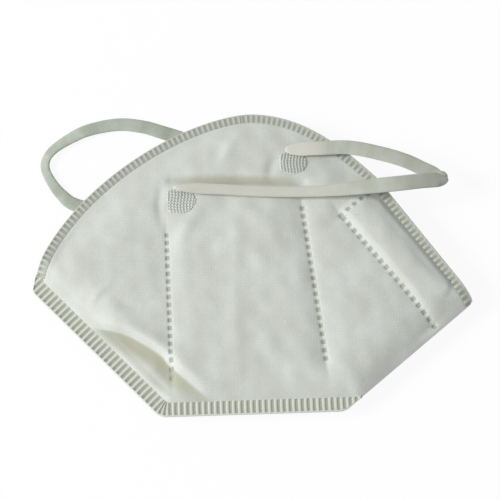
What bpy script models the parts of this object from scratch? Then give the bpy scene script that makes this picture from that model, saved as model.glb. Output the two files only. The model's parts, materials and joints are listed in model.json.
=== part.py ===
# Fold-flat disposable dust mask, folded in half and lying on its left half.
# Metres, +Z up. X runs from the chin corner to the nose corner, Y from the front seam
# to the open face edge, and Z through the folded thickness. The origin is under the
# middle of the folded mask, on the surface that it lies on.

import math

import bmesh
import bpy
from mathutils import Vector

MM = 0.001

# Outline of one half, as corners of the folded mask
CHIN_CORNER_X = -79.6 * MM
CHIN_CORNER_Y = -11.5 * MM
SEAM_CORNER_X = -30.9 * MM
SEAM_CORNER_Y = -59.6 * MM
FRONT_TIP_X = 32.6 * MM
FRONT_TIP_Y = -57.5 * MM
NOSE_CORNER_X = 81.4 * MM
NOSE_CORNER_Y = -15.6 * MM
BROW_X = 47.1 * MM
BROW_Y = 30.8 * MM
CROWN_X = -0.9 * MM
CROWN_Y = 55.6 * MM

# The face edge rises from the chin as a flattened quarter oval and falls to the brow as a curve
ARCH_POWER = 1.6
CROWN_REACH = 18.9 * MM
BROW_REACH_X = 14.1 * MM
BROW_REACH_Y = 14.1 * MM
ARCH_STEPS = 24

# Weld seams and creases
FRONT_SEAM_WIDTH = 5.0 * MM
CHIN_SEAM_WIDTH = 4.2 * MM
SEAM_THICKNESS = 0.8 * MM
CHIN_CREASE_LEAN = 2.0
NOSE_CREASE_LEAN = 7.7
CORNER_BLUNT = 2.6 * MM

# Plies, from the face side out
LINING_THICKNESS = 0.4 * MM
FILTER_THICKNESS = 0.5 * MM
COTTON_THICKNESS = 0.8 * MM
COVER_THICKNESS = 0.4 * MM
GAP = 0.3 * MM

# Folded thickness
CAVITY = 5.0 * MM
SEAM_SLOPE = 8.0 * MM
WELD_SLOPE = 6.0 * MM
SLAB_MARGIN = 1.5 * MM
SEAM_INSET = 0.6 * MM
SLOPE_SHARE = 0.4
CHIN_CLOSURE_ROOM = 3.4 * MM
NOSE_CLOSURE_ROOM = 1.5 * MM

# Nose wire in its pocket along the face edge
WIRE_WIDTH = 4.0 * MM
WIRE_LENGTH = 38.0 * MM
WIRE_FROM_EDGE = 10.0 * MM
WIRE_FROM_FOLD = 11.0 * MM
POCKET_WIDTH = 17.0 * MM

# Ear loops and the knurled patches that weld their ends to the cheeks
BAND_WIDTH = 5.0 * MM
BAND_THICKNESS = 1.0 * MM
PATCH_LENGTH = 11.0 * MM
PATCH_WIDTH = 6.5 * MM
CHIN_PATCH_X = -25.4 * MM
NOSE_PATCH_X = 15.2 * MM
SWING_ROOM = BAND_THICKNESS / 2 + GAP
LOOP_TIP_TILT = 50.0
ROUTE_STEPS = 3

# Levels through the folded thickness, measured from the plane of the seams
LINING_LEVEL = CAVITY / 2
FILTER_LEVEL = LINING_LEVEL + LINING_THICKNESS + GAP
COTTON_LEVEL = FILTER_LEVEL + FILTER_THICKNESS + GAP
COVER_LEVEL = COTTON_LEVEL + COTTON_THICKNESS + GAP
WELD_LEVEL = LINING_LEVEL + LINING_THICKNESS + GAP
SEAM_LEVEL = (SEAM_THICKNESS + GAP) / 2
OUTER_LEVEL = COVER_LEVEL + COVER_THICKNESS
BAND_LEVEL = OUTER_LEVEL + GAP
SEAM_PLANE = BAND_LEVEL + BAND_THICKNESS

# The routes of the free bands, as points chosen along their middles: x, y and height in millimetres.
# The right loop leaves the nose patch, turns back over itself and returns to the chin patch.
RIGHT_ROUTE = (
    (15.5, 39.7, 0.0), (25.0, 40.5, 0.0), (36.1, 40.7, 0.0), (47.8, 38.3, 0.0), (56.5, 35.5, 0.0),
    (63.0, 32.6, 0.0), (68.2, 30.2, 0.3), (71.0, 29.0, 2.4), (68.4, 28.4, 4.6), (62.0, 27.6, 4.6),
    (52.0, 26.2, 4.0), (42.0, 24.6, 2.8), (30.0, 23.4, 1.4), (18.0, 23.0, 0.5), (2.0, 23.4, 0.0),
    (-12.0, 24.1, 0.0), (-25.0, 24.5, 0.0),
)
# The left loop leaves the mask at the crown side, goes round to the left and returns at the chin side.
LEFT_ROUTE = (
    (-27.5, 50.2, 0.0), (-33.8, 52.8, 0.0), (-41.4, 55.3, 0.0), (-50.8, 56.3, 0.0), (-61.8, 53.9, 0.0),
    (-68.9, 50.0, 0.0), (-74.5, 45.4, 0.0), (-77.3, 41.2, 0.0), (-77.5, 37.0, 0.0), (-75.0, 31.9, 0.0),
    (-71.2, 27.0, 0.0), (-65.8, 23.0, 0.0),
)
# The stretches of the left band between the mask and the surface under it, from patch to loop
CROWN_STRETCH = ((-2.0, 38.0, 0.0), (-13.0, 45.0, 0.0))
CHIN_STRETCH = ((-42.0, 18.2, 0.0), (-52.0, 19.2, 0.0))

COLOURS = {
    "outer_cover": (0.80, 0.82, 0.78),
    "cotton_layer": (0.86, 0.86, 0.83),
    "meltblown_filter": (0.88, 0.89, 0.88),
    "inner_lining": (0.84, 0.85, 0.83),
    "weld": (0.62, 0.64, 0.58),
    "band": (0.78, 0.80, 0.76),
    "wire": (0.70, 0.71, 0.72),
}


def clear_scene():
    for obj in list(bpy.data.objects):
        bpy.data.objects.remove(obj, do_unlink=True)


def finish(kind):
    """The material of one kind of piece."""
    found = bpy.data.materials.get(kind)
    if found:
        return found
    material = bpy.data.materials.new(kind)
    material.use_nodes = True
    shader = material.node_tree.nodes["Principled BSDF"]
    shader.inputs["Base Color"].default_value = (*COLOURS[kind], 1.0)
    shader.inputs["Roughness"].default_value = 0.35 if kind == "wire" else 0.9
    shader.inputs["Metallic"].default_value = 1.0 if kind == "wire" else 0.0
    return material


def lerp(p, q, t):
    return p + (q - p) * t


def meet(p, p_way, q, q_way):
    """Where the line through p along p_way crosses the line through q along q_way."""
    cross = p_way.x * q_way.y - p_way.y * q_way.x
    apart = q - p
    return p + p_way * ((apart.x * q_way.y - apart.y * q_way.x) / cross)


def inward(way):
    """The normal to the left of a direction along the outline."""
    return Vector((-way.y, way.x)).normalized()


class Edge:
    """A run of points that is read by the distance along it."""

    def __init__(self, points):
        self.points = points
        self.marks = [0.0]
        for p, q in zip(points, points[1:]):
            self.marks.append(self.marks[-1] + (q - p).length)

    @property
    def length(self):
        return self.marks[-1]

    def at(self, distance):
        for i in range(len(self.points) - 2):
            if distance <= self.marks[i + 1]:
                break
        else:
            i = len(self.points) - 2
        span = self.marks[i + 1] - self.marks[i]
        return lerp(self.points[i], self.points[i + 1], (distance - self.marks[i]) / span)

    def crossing(self, start, way):
        """The distance at which the run passes a line, from its left side to its right or back."""
        normal = inward(way)
        sides = [(p - start).dot(normal) for p in self.points]
        for i, (a, b) in enumerate(zip(sides, sides[1:])):
            if (a < 0) != (b < 0):
                return self.marks[i] + (self.marks[i + 1] - self.marks[i]) * a / (a - b)
        raise ValueError("the line misses the face edge")


CHIN_CORNER = Vector((CHIN_CORNER_X, CHIN_CORNER_Y))
SEAM_CORNER = Vector((SEAM_CORNER_X, SEAM_CORNER_Y))
FRONT_TIP = Vector((FRONT_TIP_X, FRONT_TIP_Y))
NOSE_CORNER = Vector((NOSE_CORNER_X, NOSE_CORNER_Y))
BROW = Vector((BROW_X, BROW_Y))
CROWN = Vector((CROWN_X, CROWN_Y))


def face_edge():
    """The open edge of one half, from the chin corner over the crown and the brow to the nose corner."""
    points = []
    for step in range(ARCH_STEPS):
        turn = math.pi / 2 * step / ARCH_STEPS
        across = math.cos(turn) ** (2 / ARCH_POWER)
        up = math.sin(turn) ** (2 / ARCH_POWER)
        points.append(Vector((lerp(CROWN.x, CHIN_CORNER.x, across), lerp(CHIN_CORNER.y, CROWN.y, up))))
    pull = CROWN + Vector((CROWN_REACH, 0))
    push = BROW + Vector((-BROW_REACH_X, BROW_REACH_Y))
    for step in range(ARCH_STEPS):
        t = step / ARCH_STEPS
        a, b, c = lerp(CROWN, pull, t), lerp(pull, push, t), lerp(push, BROW, t)
        points.append(lerp(lerp(a, b, t), lerp(b, c, t), t))
    return Edge([*points, BROW, NOSE_CORNER])


FACE_EDGE = face_edge()
FRONT_WAY = (FRONT_TIP - SEAM_CORNER).normalized()
CHIN_WAY = (SEAM_CORNER - CHIN_CORNER).normalized()
NOSE_WAY = (NOSE_CORNER - FRONT_TIP).normalized()
FRONT_LINE = SEAM_CORNER + inward(FRONT_WAY) * FRONT_SEAM_WIDTH
CHIN_LINE = SEAM_CORNER + inward(CHIN_WAY) * CHIN_SEAM_WIDTH

# The folds all meet the seams at these two points
CHIN_VERTEX = meet(FRONT_LINE, FRONT_WAY, CHIN_LINE, CHIN_WAY)
NOSE_VERTEX = meet(FRONT_LINE, FRONT_WAY, FRONT_TIP, NOSE_WAY)
CHIN_CREASE = Vector((-math.tan(math.radians(CHIN_CREASE_LEAN)), 1.0)).normalized()
NOSE_CREASE = Vector((-math.tan(math.radians(NOSE_CREASE_LEAN)), 1.0)).normalized()
CHIN_END_MARK = FACE_EDGE.crossing(CHIN_LINE, CHIN_WAY)
CHIN_END = FACE_EDGE.at(CHIN_END_MARK)
CHIN_CREASE_MARK = FACE_EDGE.crossing(CHIN_VERTEX, CHIN_CREASE)
NOSE_CREASE_MARK = FACE_EDGE.crossing(NOSE_VERTEX, NOSE_CREASE)
BROW_MARK = FACE_EDGE.marks[-2]


class Panel:
    """One flat panel of a half, ruled between its seam line and its stretch of the face edge."""

    def __init__(self, name, seam_start, seam_end, face_start, face_end, columns, blunt_start, blunt_end):
        self.name = name
        self.seam_start, self.seam_end = seam_start, seam_end
        self.face_start, self.face_end = face_start, face_end
        self.columns = columns
        self.width = (seam_end - seam_start).length
        self.first = (CORNER_BLUNT if blunt_start else GAP / 2) / self.width
        self.last = 1.0 - (CORNER_BLUNT if blunt_end else GAP / 2) / self.width
        self.weld_share = WELD_SLOPE / self.width
        self.slab_share = SLAB_MARGIN / self.width

    def at(self, across, up):
        seam = lerp(self.seam_start, self.seam_end, across)
        face = FACE_EDGE.at(lerp(self.face_start, self.face_end, across))
        return lerp(seam, face, up)

    def rise(self, share, distance):
        """A distance up from the seam as a share of the panel's height there."""
        return min(distance / (self.at(share, 1.0) - self.at(share, 0.0)).length, SLOPE_SHARE)

    def inner_span(self, share, margin):
        """The shares of the height between which the plies lie at full thickness, set in by a margin."""
        return self.rise(share, SEAM_SLOPE) + margin, 1.0 - self.rise(share, WELD_SLOPE) - margin

    def corner_share(self):
        """Where the brow corner of the face edge falls across the panel, or None."""
        share = (BROW_MARK - self.face_start) / (self.face_end - self.face_start)
        return share if 0.0 < share < 1.0 else None

    def across(self, margin):
        """Shares across the panel, from one border to the other, set in by a margin."""
        start, end = self.first + margin, self.last - margin
        inner = [start + self.weld_share, end - self.weld_share]
        steps = [lerp(inner[0], inner[1], i / self.columns) for i in range(self.columns + 1)]
        corner = self.corner_share()
        if corner is not None:
            nearest = min(steps[1:-1], key=lambda share: abs(share - corner))
            steps[steps.index(nearest)] = corner
        return [start, *steps, end]


CHIN = Panel("chin", CHIN_END, CHIN_VERTEX, CHIN_END_MARK, CHIN_CREASE_MARK, 7, True, False)
CHEEK = Panel("cheek", CHIN_VERTEX, NOSE_VERTEX, CHIN_CREASE_MARK, NOSE_CREASE_MARK, 8, False, False)
NOSE = Panel("nose", NOSE_VERTEX, NOSE_CORNER, NOSE_CREASE_MARK, FACE_EDGE.length, 8, False, True)
PANELS = (CHIN, CHEEK, NOSE)


def closure_room(panel, share, side):
    """How far a right panel's seam border stands off the seam, so that the coupled folds never press it."""
    if side < 0:
        return 0.0
    if panel is CHIN:
        return CHIN_CLOSURE_ROOM * (1.0 - share)
    if panel is NOSE:
        return NOSE_CLOSURE_ROOM * share
    return 0.0


def lift(point, level, side):
    return Vector((point.x, point.y, SEAM_PLANE + side * level))


def grid_shell(name, rows, thickness, side, kind, collection):
    """A sheet through rows of points, thickened away from the face side."""
    shape = bmesh.new()
    points = [[shape.verts.new(p) for p in row] for row in rows]
    for lower, upper in zip(points, points[1:]):
        for i in range(len(lower) - 1):
            corners = [lower[i], lower[i + 1], upper[i + 1], upper[i]]
            shape.faces.new(corners if side > 0 else corners[::-1])
    mesh = bpy.data.meshes.new(name)
    shape.to_mesh(mesh)
    shape.free()
    obj = bpy.data.objects.new(name, mesh)
    obj.data.materials.append(finish(kind))
    collection.objects.link(obj)
    solid = obj.modifiers.new("thickness", "SOLIDIFY")
    solid.thickness = thickness
    solid.offset = 1.0
    solid.use_even_offset = True
    return obj


def cover(panel, side, name, collection):
    """The outer cover: raised over the plies, down to the weld at creases and face edge, and to the seam."""
    shares = panel.across(0.0)
    columns = []
    for j, share in enumerate(shares):
        low, high = panel.inner_span(share, 0.0)
        room = closure_room(panel, share, side)
        ups = [panel.rise(share, SEAM_INSET + room), low, lerp(low, high, 0.5), high, 1.0]
        seam_level = min(SEAM_LEVEL + room, WELD_LEVEL)
        level = WELD_LEVEL if j in (0, len(shares) - 1) else COVER_LEVEL
        levels = [seam_level, level, level, level, WELD_LEVEL]
        columns.append([lift(panel.at(share, up), height, side) for up, height in zip(ups, levels)])
    rows = [list(row) for row in zip(*columns)]
    return grid_shell(name, rows, COVER_THICKNESS, side, "outer_cover", collection)


def slab(panel, side, name, level, thickness, kind, shares, span, collection):
    """A flat ply over some shares of a panel's width, between the two heights that span gives at each."""
    spans = [span(share) for share in shares]
    rows = []
    for end in (0, 1):
        rows.append([lift(panel.at(share, ups[end]), level, side) for share, ups in zip(shares, spans)])
    return grid_shell(name, rows, thickness, side, kind, collection)


def pocket_share(share):
    """The share of the nose panel's height at which the wire pocket begins."""
    out = inward(NOSE_CORNER - BROW)
    seam_depth = (BROW - NOSE.at(share, 0.0)).dot(out)
    face_depth = (BROW - NOSE.at(share, 1.0)).dot(out)
    return (seam_depth - POCKET_WIDTH) / (seam_depth - face_depth)


def plies(panel, side, collection):
    """The four plies of one panel. On a nose panel the support ply stops at the wire pocket."""
    half = "right" if side > 0 else "left"
    stem = f"{half}_{panel.name}"
    filter_shares = panel.across(panel.weld_share + panel.slab_share)
    cotton_shares = filter_shares

    def filter_span(share):
        return panel.inner_span(share, panel.rise(share, SLAB_MARGIN))

    def cotton_span(share):
        low, high = filter_span(share)
        return (low, min(high, pocket_share(share))) if panel is NOSE else (low, high)

    def lining_span(share):
        room = closure_room(panel, share, side)
        return panel.rise(share, SEAM_SLOPE) + panel.rise(share, room), 1.0

    if panel is NOSE:
        cotton_shares = [share for share in filter_shares if pocket_share(share) > 2 * filter_span(share)[0]]
    return [
        cover(panel, side, f"{stem}_outer_cover", collection),
        slab(panel, side, f"{stem}_cotton_layer", COTTON_LEVEL, COTTON_THICKNESS, "cotton_layer",
             cotton_shares, cotton_span, collection),
        slab(panel, side, f"{stem}_meltblown_filter", FILTER_LEVEL, FILTER_THICKNESS, "meltblown_filter",
             filter_shares, filter_span, collection),
        slab(panel, side, f"{stem}_inner_lining", LINING_LEVEL, LINING_THICKNESS, "inner_lining",
             panel.across(0.0), lining_span, collection),
    ]


def plate(name, outline, bottom, thickness, kind, collection):
    """A flat piece with a straight-sided outline."""
    curve = bpy.data.curves.new(name, "CURVE")
    curve.dimensions = "2D"
    curve.fill_mode = "BOTH"
    curve.extrude = thickness / 2
    spline = curve.splines.new("POLY")
    spline.points.add(len(outline) - 1)
    for point, corner in zip(spline.points, outline):
        point.co = (corner.x, corner.y, 0.0, 1.0)
    spline.use_cyclic_u = True
    curve.materials.append(finish(kind))
    obj = bpy.data.objects.new(name, curve)
    obj.location.z = bottom + thickness / 2
    collection.objects.link(obj)
    return obj


def seam_strips(collection):
    """The fused weld seams outside the fold lines, at the front and at the chin."""
    bottom = SEAM_PLANE - SEAM_THICKNESS / 2
    down, out = -inward(FRONT_WAY) * GAP, -inward(CHIN_WAY) * GAP
    front = [SEAM_CORNER + FRONT_WAY * GAP, FRONT_TIP, NOSE_VERTEX + down, CHIN_VERTEX + down + FRONT_WAY * GAP]
    chin = [CHIN_CORNER, SEAM_CORNER - CHIN_WAY * GAP, CHIN_VERTEX + out - CHIN_WAY * GAP, CHIN_END + out]
    return (
        plate("front_weld_seam", front, bottom, SEAM_THICKNESS, "weld", collection),
        plate("chin_weld_seam", chin, bottom, SEAM_THICKNESS, "weld", collection),
    )


def nose_wire(side, collection):
    """One arm of the nose wire, in the pocket along the face edge."""
    half = "right" if side > 0 else "left"
    way = (BROW - NOSE_CORNER).normalized()
    across = inward(way)
    start = NOSE_CORNER + across * WIRE_FROM_EDGE + way * WIRE_FROM_FOLD
    end = start + way * WIRE_LENGTH
    reach = across * WIRE_WIDTH / 2
    outline = [start - reach, end - reach, end + reach, start + reach]
    level = COTTON_LEVEL if side > 0 else -COTTON_LEVEL - COTTON_THICKNESS
    return plate(f"{half}_nose_wire_arm", outline, SEAM_PLANE + level, COTTON_THICKNESS, "wire", collection)


def weld_patch(name, side, centre, collection):
    """A knurled patch that fuses one end of a band to the cheek's cover."""
    reach_x, reach_y = PATCH_LENGTH / 2, PATCH_WIDTH / 2
    corners = ((-1, -1), (1, -1), (1, 1), (-1, 1))
    outline = [centre + Vector((a * reach_x, b * reach_y)) for a, b in corners]
    bottom = SEAM_PLANE + (BAND_LEVEL if side > 0 else -BAND_LEVEL - BAND_THICKNESS)
    return plate(name, outline, bottom, BAND_THICKNESS, "band", collection)


def smooth_route(route, base):
    """Points of a smooth curve through a route's own points, with heights above a base level."""
    points = [Vector((x * MM, y * MM, base + z * MM)) for x, y, z in route]
    ends = [points[0] * 2 - points[1], *points, points[-1] * 2 - points[-2]]
    stations = []
    for a, b, c, d in zip(ends, ends[1:], ends[2:], ends[3:]):
        for step in range(ROUTE_STEPS):
            t = step / ROUTE_STEPS
            pull = (c - a) * t + (2 * a - 5 * b + 4 * c - d) * t**2 + (3 * b - a - 3 * c + d) * t**3
            stations.append(b + pull / 2)
    return [*stations, points[-1]]


def plan(point):
    return Vector((point.x, point.y))


def tip_of(stations, way):
    """The station where a loop reaches furthest along X, one way or the other."""
    return max(range(len(stations)), key=lambda i: way * stations[i].x)


def plan_ways(stations, tip):
    """The direction in plan at each station, reversed past the tip where the band doubles back."""
    ways = []
    for i in range(len(stations)):
        run = stations[min(i + 1, len(stations) - 1)] - stations[max(i - 1, 0)]
        way = Vector((run.x, run.y))
        ways.append(-way if tip is not None and i > tip else way)
    if tip is not None:
        ways[tip] = ways[tip - 1].normalized() + ways[tip + 1].normalized()
    return [way.normalized() for way in ways]


def cut_reach(way, cut):
    """From the middle of a band that runs along way to its edge, along a slanting cut."""
    across = cut.dot(Vector((-way.y, way.x)))
    return Vector((cut.x, cut.y, 0.0)) * (BAND_WIDTH / 2 / across)


def band(name, stations, ways, tilts, end_ways, collection):
    """A flat band along stations, cut along end_ways and tilted about its middle by an angle at each station."""
    last = len(stations) - 1
    cuts = {0: cut_reach(ways[0], end_ways[0]), last: cut_reach(ways[last], end_ways[1])}
    rows = []
    for i, (station, way, tilt) in enumerate(zip(stations, ways, tilts)):
        side = Vector((-way.y, way.x, 0.0))
        reach = (side * math.cos(tilt) + Vector((0, 0, 1)) * math.sin(tilt)) * BAND_WIDTH / 2
        beside_cut = any((station - stations[end]).length < cut.length for end, cut in cuts.items())
        if i in cuts:
            reach = cuts[i]
        elif beside_cut:
            continue
        rows.append([station + reach, station - reach])
    obj = grid_shell(name, rows, BAND_THICKNESS, 1, "band", collection)
    obj.modifiers["thickness"].offset = 0.0
    return obj


def patch_y(end):
    """The middle of the patch that lies just below one end of the right loop."""
    start = RIGHT_STATIONS[end]
    edges = [s.y - BAND_WIDTH / 2 for s in RIGHT_STATIONS if (s - start).length < PATCH_LENGTH]
    corner = start.y - abs(cut_reach(RIGHT_WAYS[end], RIGHT_AXIS).y)
    return min(corner, *edges) - GAP - PATCH_WIDTH / 2


RIGHT_STATIONS = smooth_route(RIGHT_ROUTE, SEAM_PLANE + BAND_LEVEL + BAND_THICKNESS / 2)
RIGHT_WAYS = plan_ways(RIGHT_STATIONS, tip_of(RIGHT_STATIONS, 1))
RIGHT_AXIS = plan(RIGHT_STATIONS[0] - RIGHT_STATIONS[-1]).normalized()
PATCHES = {
    "nose": Vector((NOSE_PATCH_X, patch_y(0))),
    "chin": Vector((CHIN_PATCH_X, patch_y(-1))),
}


def right_loop(collection):
    """The free band of the right loop, on top of the cheek, cut along its swing axis."""
    tilts = [0.0] * len(RIGHT_STATIONS)
    return band("right_ear_loop", RIGHT_STATIONS, RIGHT_WAYS, tilts, (RIGHT_AXIS, RIGHT_AXIS), collection)


def left_loop(collection):
    """The free band of the left loop, on the surface, standing up on its edge towards its tip."""
    stations = smooth_route(LEFT_ROUTE, BAND_THICKNESS / 2)
    axis = plan(stations[0] - stations[-1]).normalized()
    ways = plan_ways(stations, None)
    tip = tip_of(stations, -1)
    last = len(stations) - 1
    tilts = []
    for i, station in enumerate(stations):
        share = i / tip if i <= tip else (last - i) / (last - tip)
        tilt = math.radians(LOOP_TIP_TILT) * math.sin(share * math.pi / 2) ** 2
        tilts.append(tilt)
        tall = abs(math.sin(tilt)) * BAND_WIDTH + math.cos(tilt) * BAND_THICKNESS
        station.z = max(station.z, tall / 2)
    return band("left_ear_loop", stations, ways, tilts, (axis, -axis), collection), stations


def stretch(name, patch, middle, loop_end, axis, collection):
    """A stretch of the left band from the edge of its patch to its loop's swing axis."""
    start = patch - Vector((PATCH_LENGTH / 2 + GAP, 0.0))
    end = plan(loop_end) - inward(axis) * SWING_ROOM
    route = [(start.x / MM, start.y / MM, 0.0), *middle, (end.x / MM, end.y / MM, 0.0)]
    stations = smooth_route(route, BAND_THICKNESS / 2)
    ways = plan_ways(stations, None)
    cuts = (Vector((0.0, -1.0)), axis * (1 if ways[-1].cross(axis) > 0 else -1))
    return band(name, stations, ways, [0.0] * len(stations), cuts, collection)


def carry(name, pivot, pieces, collection):
    """An empty on the joint's axis, with the pieces that turn about it as its children."""
    pivot_empty = bpy.data.objects.new(name, None)
    pivot_empty.location = pivot
    collection.objects.link(pivot_empty)
    for piece in pieces:
        piece.parent = pivot_empty
        piece.location -= Vector(pivot)
    return pivot_empty


def main():
    clear_scene()
    collection = bpy.data.collections.new("disposable_dust_mask")
    bpy.context.scene.collection.children.link(collection)
    panels = {}
    for side, half in ((-1, "left"), (1, "right")):
        for panel in PANELS:
            panels[f"{half}_{panel.name}"] = plies(panel, side, collection)
        panels[f"{half}_nose"].append(nose_wire(side, collection))
        for end, centre in PATCHES.items():
            patch = weld_patch(f"{half}_loop_{end}_side_patch", side, centre, collection)
            panels[f"{half}_cheek"].append(patch)
    front, chin = seam_strips(collection)
    panels["left_cheek"].append(front)
    panels["left_chin"].append(chin)
    left_band, left_stations = left_loop(collection)
    crown_end, chin_end = left_stations[0], left_stations[-1]
    axis = plan(crown_end - chin_end).normalized()
    panels["left_cheek"] += [
        stretch("left_loop_crown_stretch", PATCHES["nose"], CROWN_STRETCH, crown_end, axis, collection),
        stretch("left_loop_chin_stretch", PATCHES["chin"], CHIN_STRETCH, chin_end, axis, collection),
    ]
    panels["right_ear_loop"] = [right_loop(collection)]
    panels["left_ear_loop"] = [left_band]
    chin_pivot = lift(CHIN_VERTEX, 0.0, 1)
    nose_pivot = lift(NOSE_VERTEX, 0.0, 1)
    pivots = {
        "left_cheek": chin_pivot,
        "right_cheek": chin_pivot,
        "left_chin": chin_pivot,
        "right_chin": chin_pivot,
        "left_nose": nose_pivot,
        "right_nose": nose_pivot,
        "right_ear_loop": RIGHT_STATIONS[-1],
        "left_ear_loop": chin_end,
    }
    for name, pivot in pivots.items():
        carry(f"{name}_pivot", pivot, panels[name], collection)


main()
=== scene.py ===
"""Dresses the folded dust mask: fabric halves, weld flange, knurled patches, ear loops and nose wires.

The classes hold their sizes in millimetres, and meshes are made in metres, in the frame of the
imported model: X from the chin corner to the nose corner, Y from the front seam to the open face
edge, Z up through the folded thickness.
"""

import json
import logging
import math
from dataclasses import dataclass
from enum import Enum

import bpy
import numpy as np
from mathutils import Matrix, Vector

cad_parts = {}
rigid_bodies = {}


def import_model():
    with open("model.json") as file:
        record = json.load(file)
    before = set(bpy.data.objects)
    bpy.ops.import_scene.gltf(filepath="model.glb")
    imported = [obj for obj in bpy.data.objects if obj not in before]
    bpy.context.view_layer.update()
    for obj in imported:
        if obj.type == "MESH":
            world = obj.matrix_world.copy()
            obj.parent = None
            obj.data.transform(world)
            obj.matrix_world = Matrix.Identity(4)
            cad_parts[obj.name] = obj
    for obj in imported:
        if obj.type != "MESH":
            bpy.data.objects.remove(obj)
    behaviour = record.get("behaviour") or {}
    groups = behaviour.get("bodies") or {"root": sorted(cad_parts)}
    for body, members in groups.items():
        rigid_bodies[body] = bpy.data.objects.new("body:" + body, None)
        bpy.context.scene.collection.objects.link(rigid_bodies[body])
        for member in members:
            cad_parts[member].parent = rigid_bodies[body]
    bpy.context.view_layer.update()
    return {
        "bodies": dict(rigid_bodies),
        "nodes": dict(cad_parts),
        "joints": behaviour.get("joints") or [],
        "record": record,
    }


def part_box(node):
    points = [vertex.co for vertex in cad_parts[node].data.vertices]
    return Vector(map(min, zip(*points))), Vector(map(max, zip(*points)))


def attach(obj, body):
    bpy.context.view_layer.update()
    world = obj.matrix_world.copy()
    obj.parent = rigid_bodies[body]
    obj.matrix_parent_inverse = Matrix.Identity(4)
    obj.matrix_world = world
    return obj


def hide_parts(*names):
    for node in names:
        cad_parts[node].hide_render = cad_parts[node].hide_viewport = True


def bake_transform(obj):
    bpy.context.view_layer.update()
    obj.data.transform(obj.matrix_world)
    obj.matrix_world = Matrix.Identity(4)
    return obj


LOG = logging.getLogger("dust_mask")
MM = 0.001
OFF_WELD = 9.0
GRADE_REACH = (2.0, 8.0)
GRADE_SAMPLES = 600
UV_PER_MM = 0.01
WHITE = (1.0, 1.0, 1.0, 1.0)
Array = np.ndarray
Numbers = dict[str, Array]
Piece = bpy.types.Object
Materials = dict[str, bpy.types.Material]
Socket = bpy.types.NodeSocket
Value = Socket | float | tuple
Colour = tuple[float, float, float]
Point = tuple[float, float]
Span = tuple[float, float]
Place = tuple[float, float, float]


class Side(Enum):
    """The two halves of the folded mask. The value is the way its outer face looks along Z."""

    LEFT = -1
    RIGHT = 1

    @property
    def label(self) -> str:
        """The word that the names of this half's pieces start with."""
        return self.name.lower()


class Part(Enum):
    """The two pieces that each layer of a half is cut into, joined in the middle of the cheek."""

    CHIN = "chin"
    NOSE = "nose"


class Ply(Enum):
    """The two hidden plies of each panel. The value is the slot, which ends the node's name too."""

    COTTON = "cotton_layer"
    MELTBLOWN = "meltblown_filter"


def smooth(low: float, high: float, value: Array) -> Array:
    """A share that rises smoothly from 0 at low to 1 at high."""
    share = np.clip((value - low) / (high - low), 0.0, 1.0)
    return share * share * (3.0 - 2.0 * share)


def soft_min(first: Array, second: Array, reach: float) -> Array:
    """The lesser of two heights, rounded where they cross."""
    apart = np.clip(0.5 + 0.5 * (second - first) / reach, 0.0, 1.0)
    return second + (first - second) * apart - reach * apart * (1.0 - apart)


def unit(way: Array) -> Array:
    """The direction of a vector, or of each in an array."""
    return way / np.maximum(np.linalg.norm(way, axis=-1, keepdims=True), 1e-12)


def left_of(way: Array) -> Array:
    """The plan direction to the left of another."""
    return np.stack([-way[..., 1], way[..., 0]], axis=-1)


def off_middle(place: Array) -> Array:
    """How far each place is from the middle of its whole step."""
    return np.abs(place - np.floor(place) - 0.5)


def bars(turn: Array) -> Array:
    """The share of pressed bar at places that are counted in bars."""
    return smooth(0.34, 0.20, off_middle(turn))


def around(upper: Array, lower: Array) -> Array:
    """Closed rings over an upper face and back under a lower one."""
    return np.concatenate([upper, lower[:, ::-1]], axis=1)


def raised(plan: Array, height: Array) -> Array:
    """Plan points or directions with a height each."""
    return np.concatenate([plan, height[..., None]], axis=-1)


def pairs(rows: Array, columns: Array) -> Array:
    """A grid with a number for each row and a number for each column."""
    return np.stack(np.broadcast_arrays(rows[:, None], columns[None]), axis=-1)


def weld_numbers(along: Array, across: Array) -> Numbers:
    """The places along a weld, in marks, and across it, for rows and columns of points."""
    both = pairs(along, across)
    return {"weld_along": both[..., 0], "weld_across": both[..., 1]}


def plain_numbers(plan: Array) -> Numbers:
    """The same numbers for a grid of cloth that has no weld."""
    return weld_numbers(np.zeros(plan.shape[0]), np.full(plan.shape[1], OFF_WELD))


def meet(p: Array, p_way: Array, q: Array, q_way: Array) -> Array:
    """Where the line through p along p_way crosses the line through q along q_way."""
    cross = p_way[0] * q_way[1] - p_way[1] * q_way[0]
    apart = q - p
    return p + p_way * ((apart[0] * q_way[1] - apart[1] * q_way[0]) / cross)


def graded(width: float, coarse: float, fine: float, at_start: bool, at_end: bool) -> Array:
    """Shares across a width whose steps are fine beside a crease and coarse away from it.

    Args:
        width: The width in millimetres.
        coarse: The step away from the creases.
        fine: The step beside a crease.
        at_start: Whether a crease lies at share 0.
        at_end: Whether a crease lies at share 1.

    Returns:
        The shares, from 0 to 1.
    """
    at = np.linspace(0.0, width, GRADE_SAMPLES)
    near = np.full_like(at, np.inf)
    if at_start:
        near = at
    if at_end:
        near = np.minimum(near, width - at)
    step = fine + (coarse - fine) * smooth(*GRADE_REACH, near)
    count = np.concatenate([[0.0], np.cumsum(np.diff(at) / step[1:])])
    return np.interp(np.linspace(0.0, count[-1], math.ceil(count[-1]) + 1), count, at) / width


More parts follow.
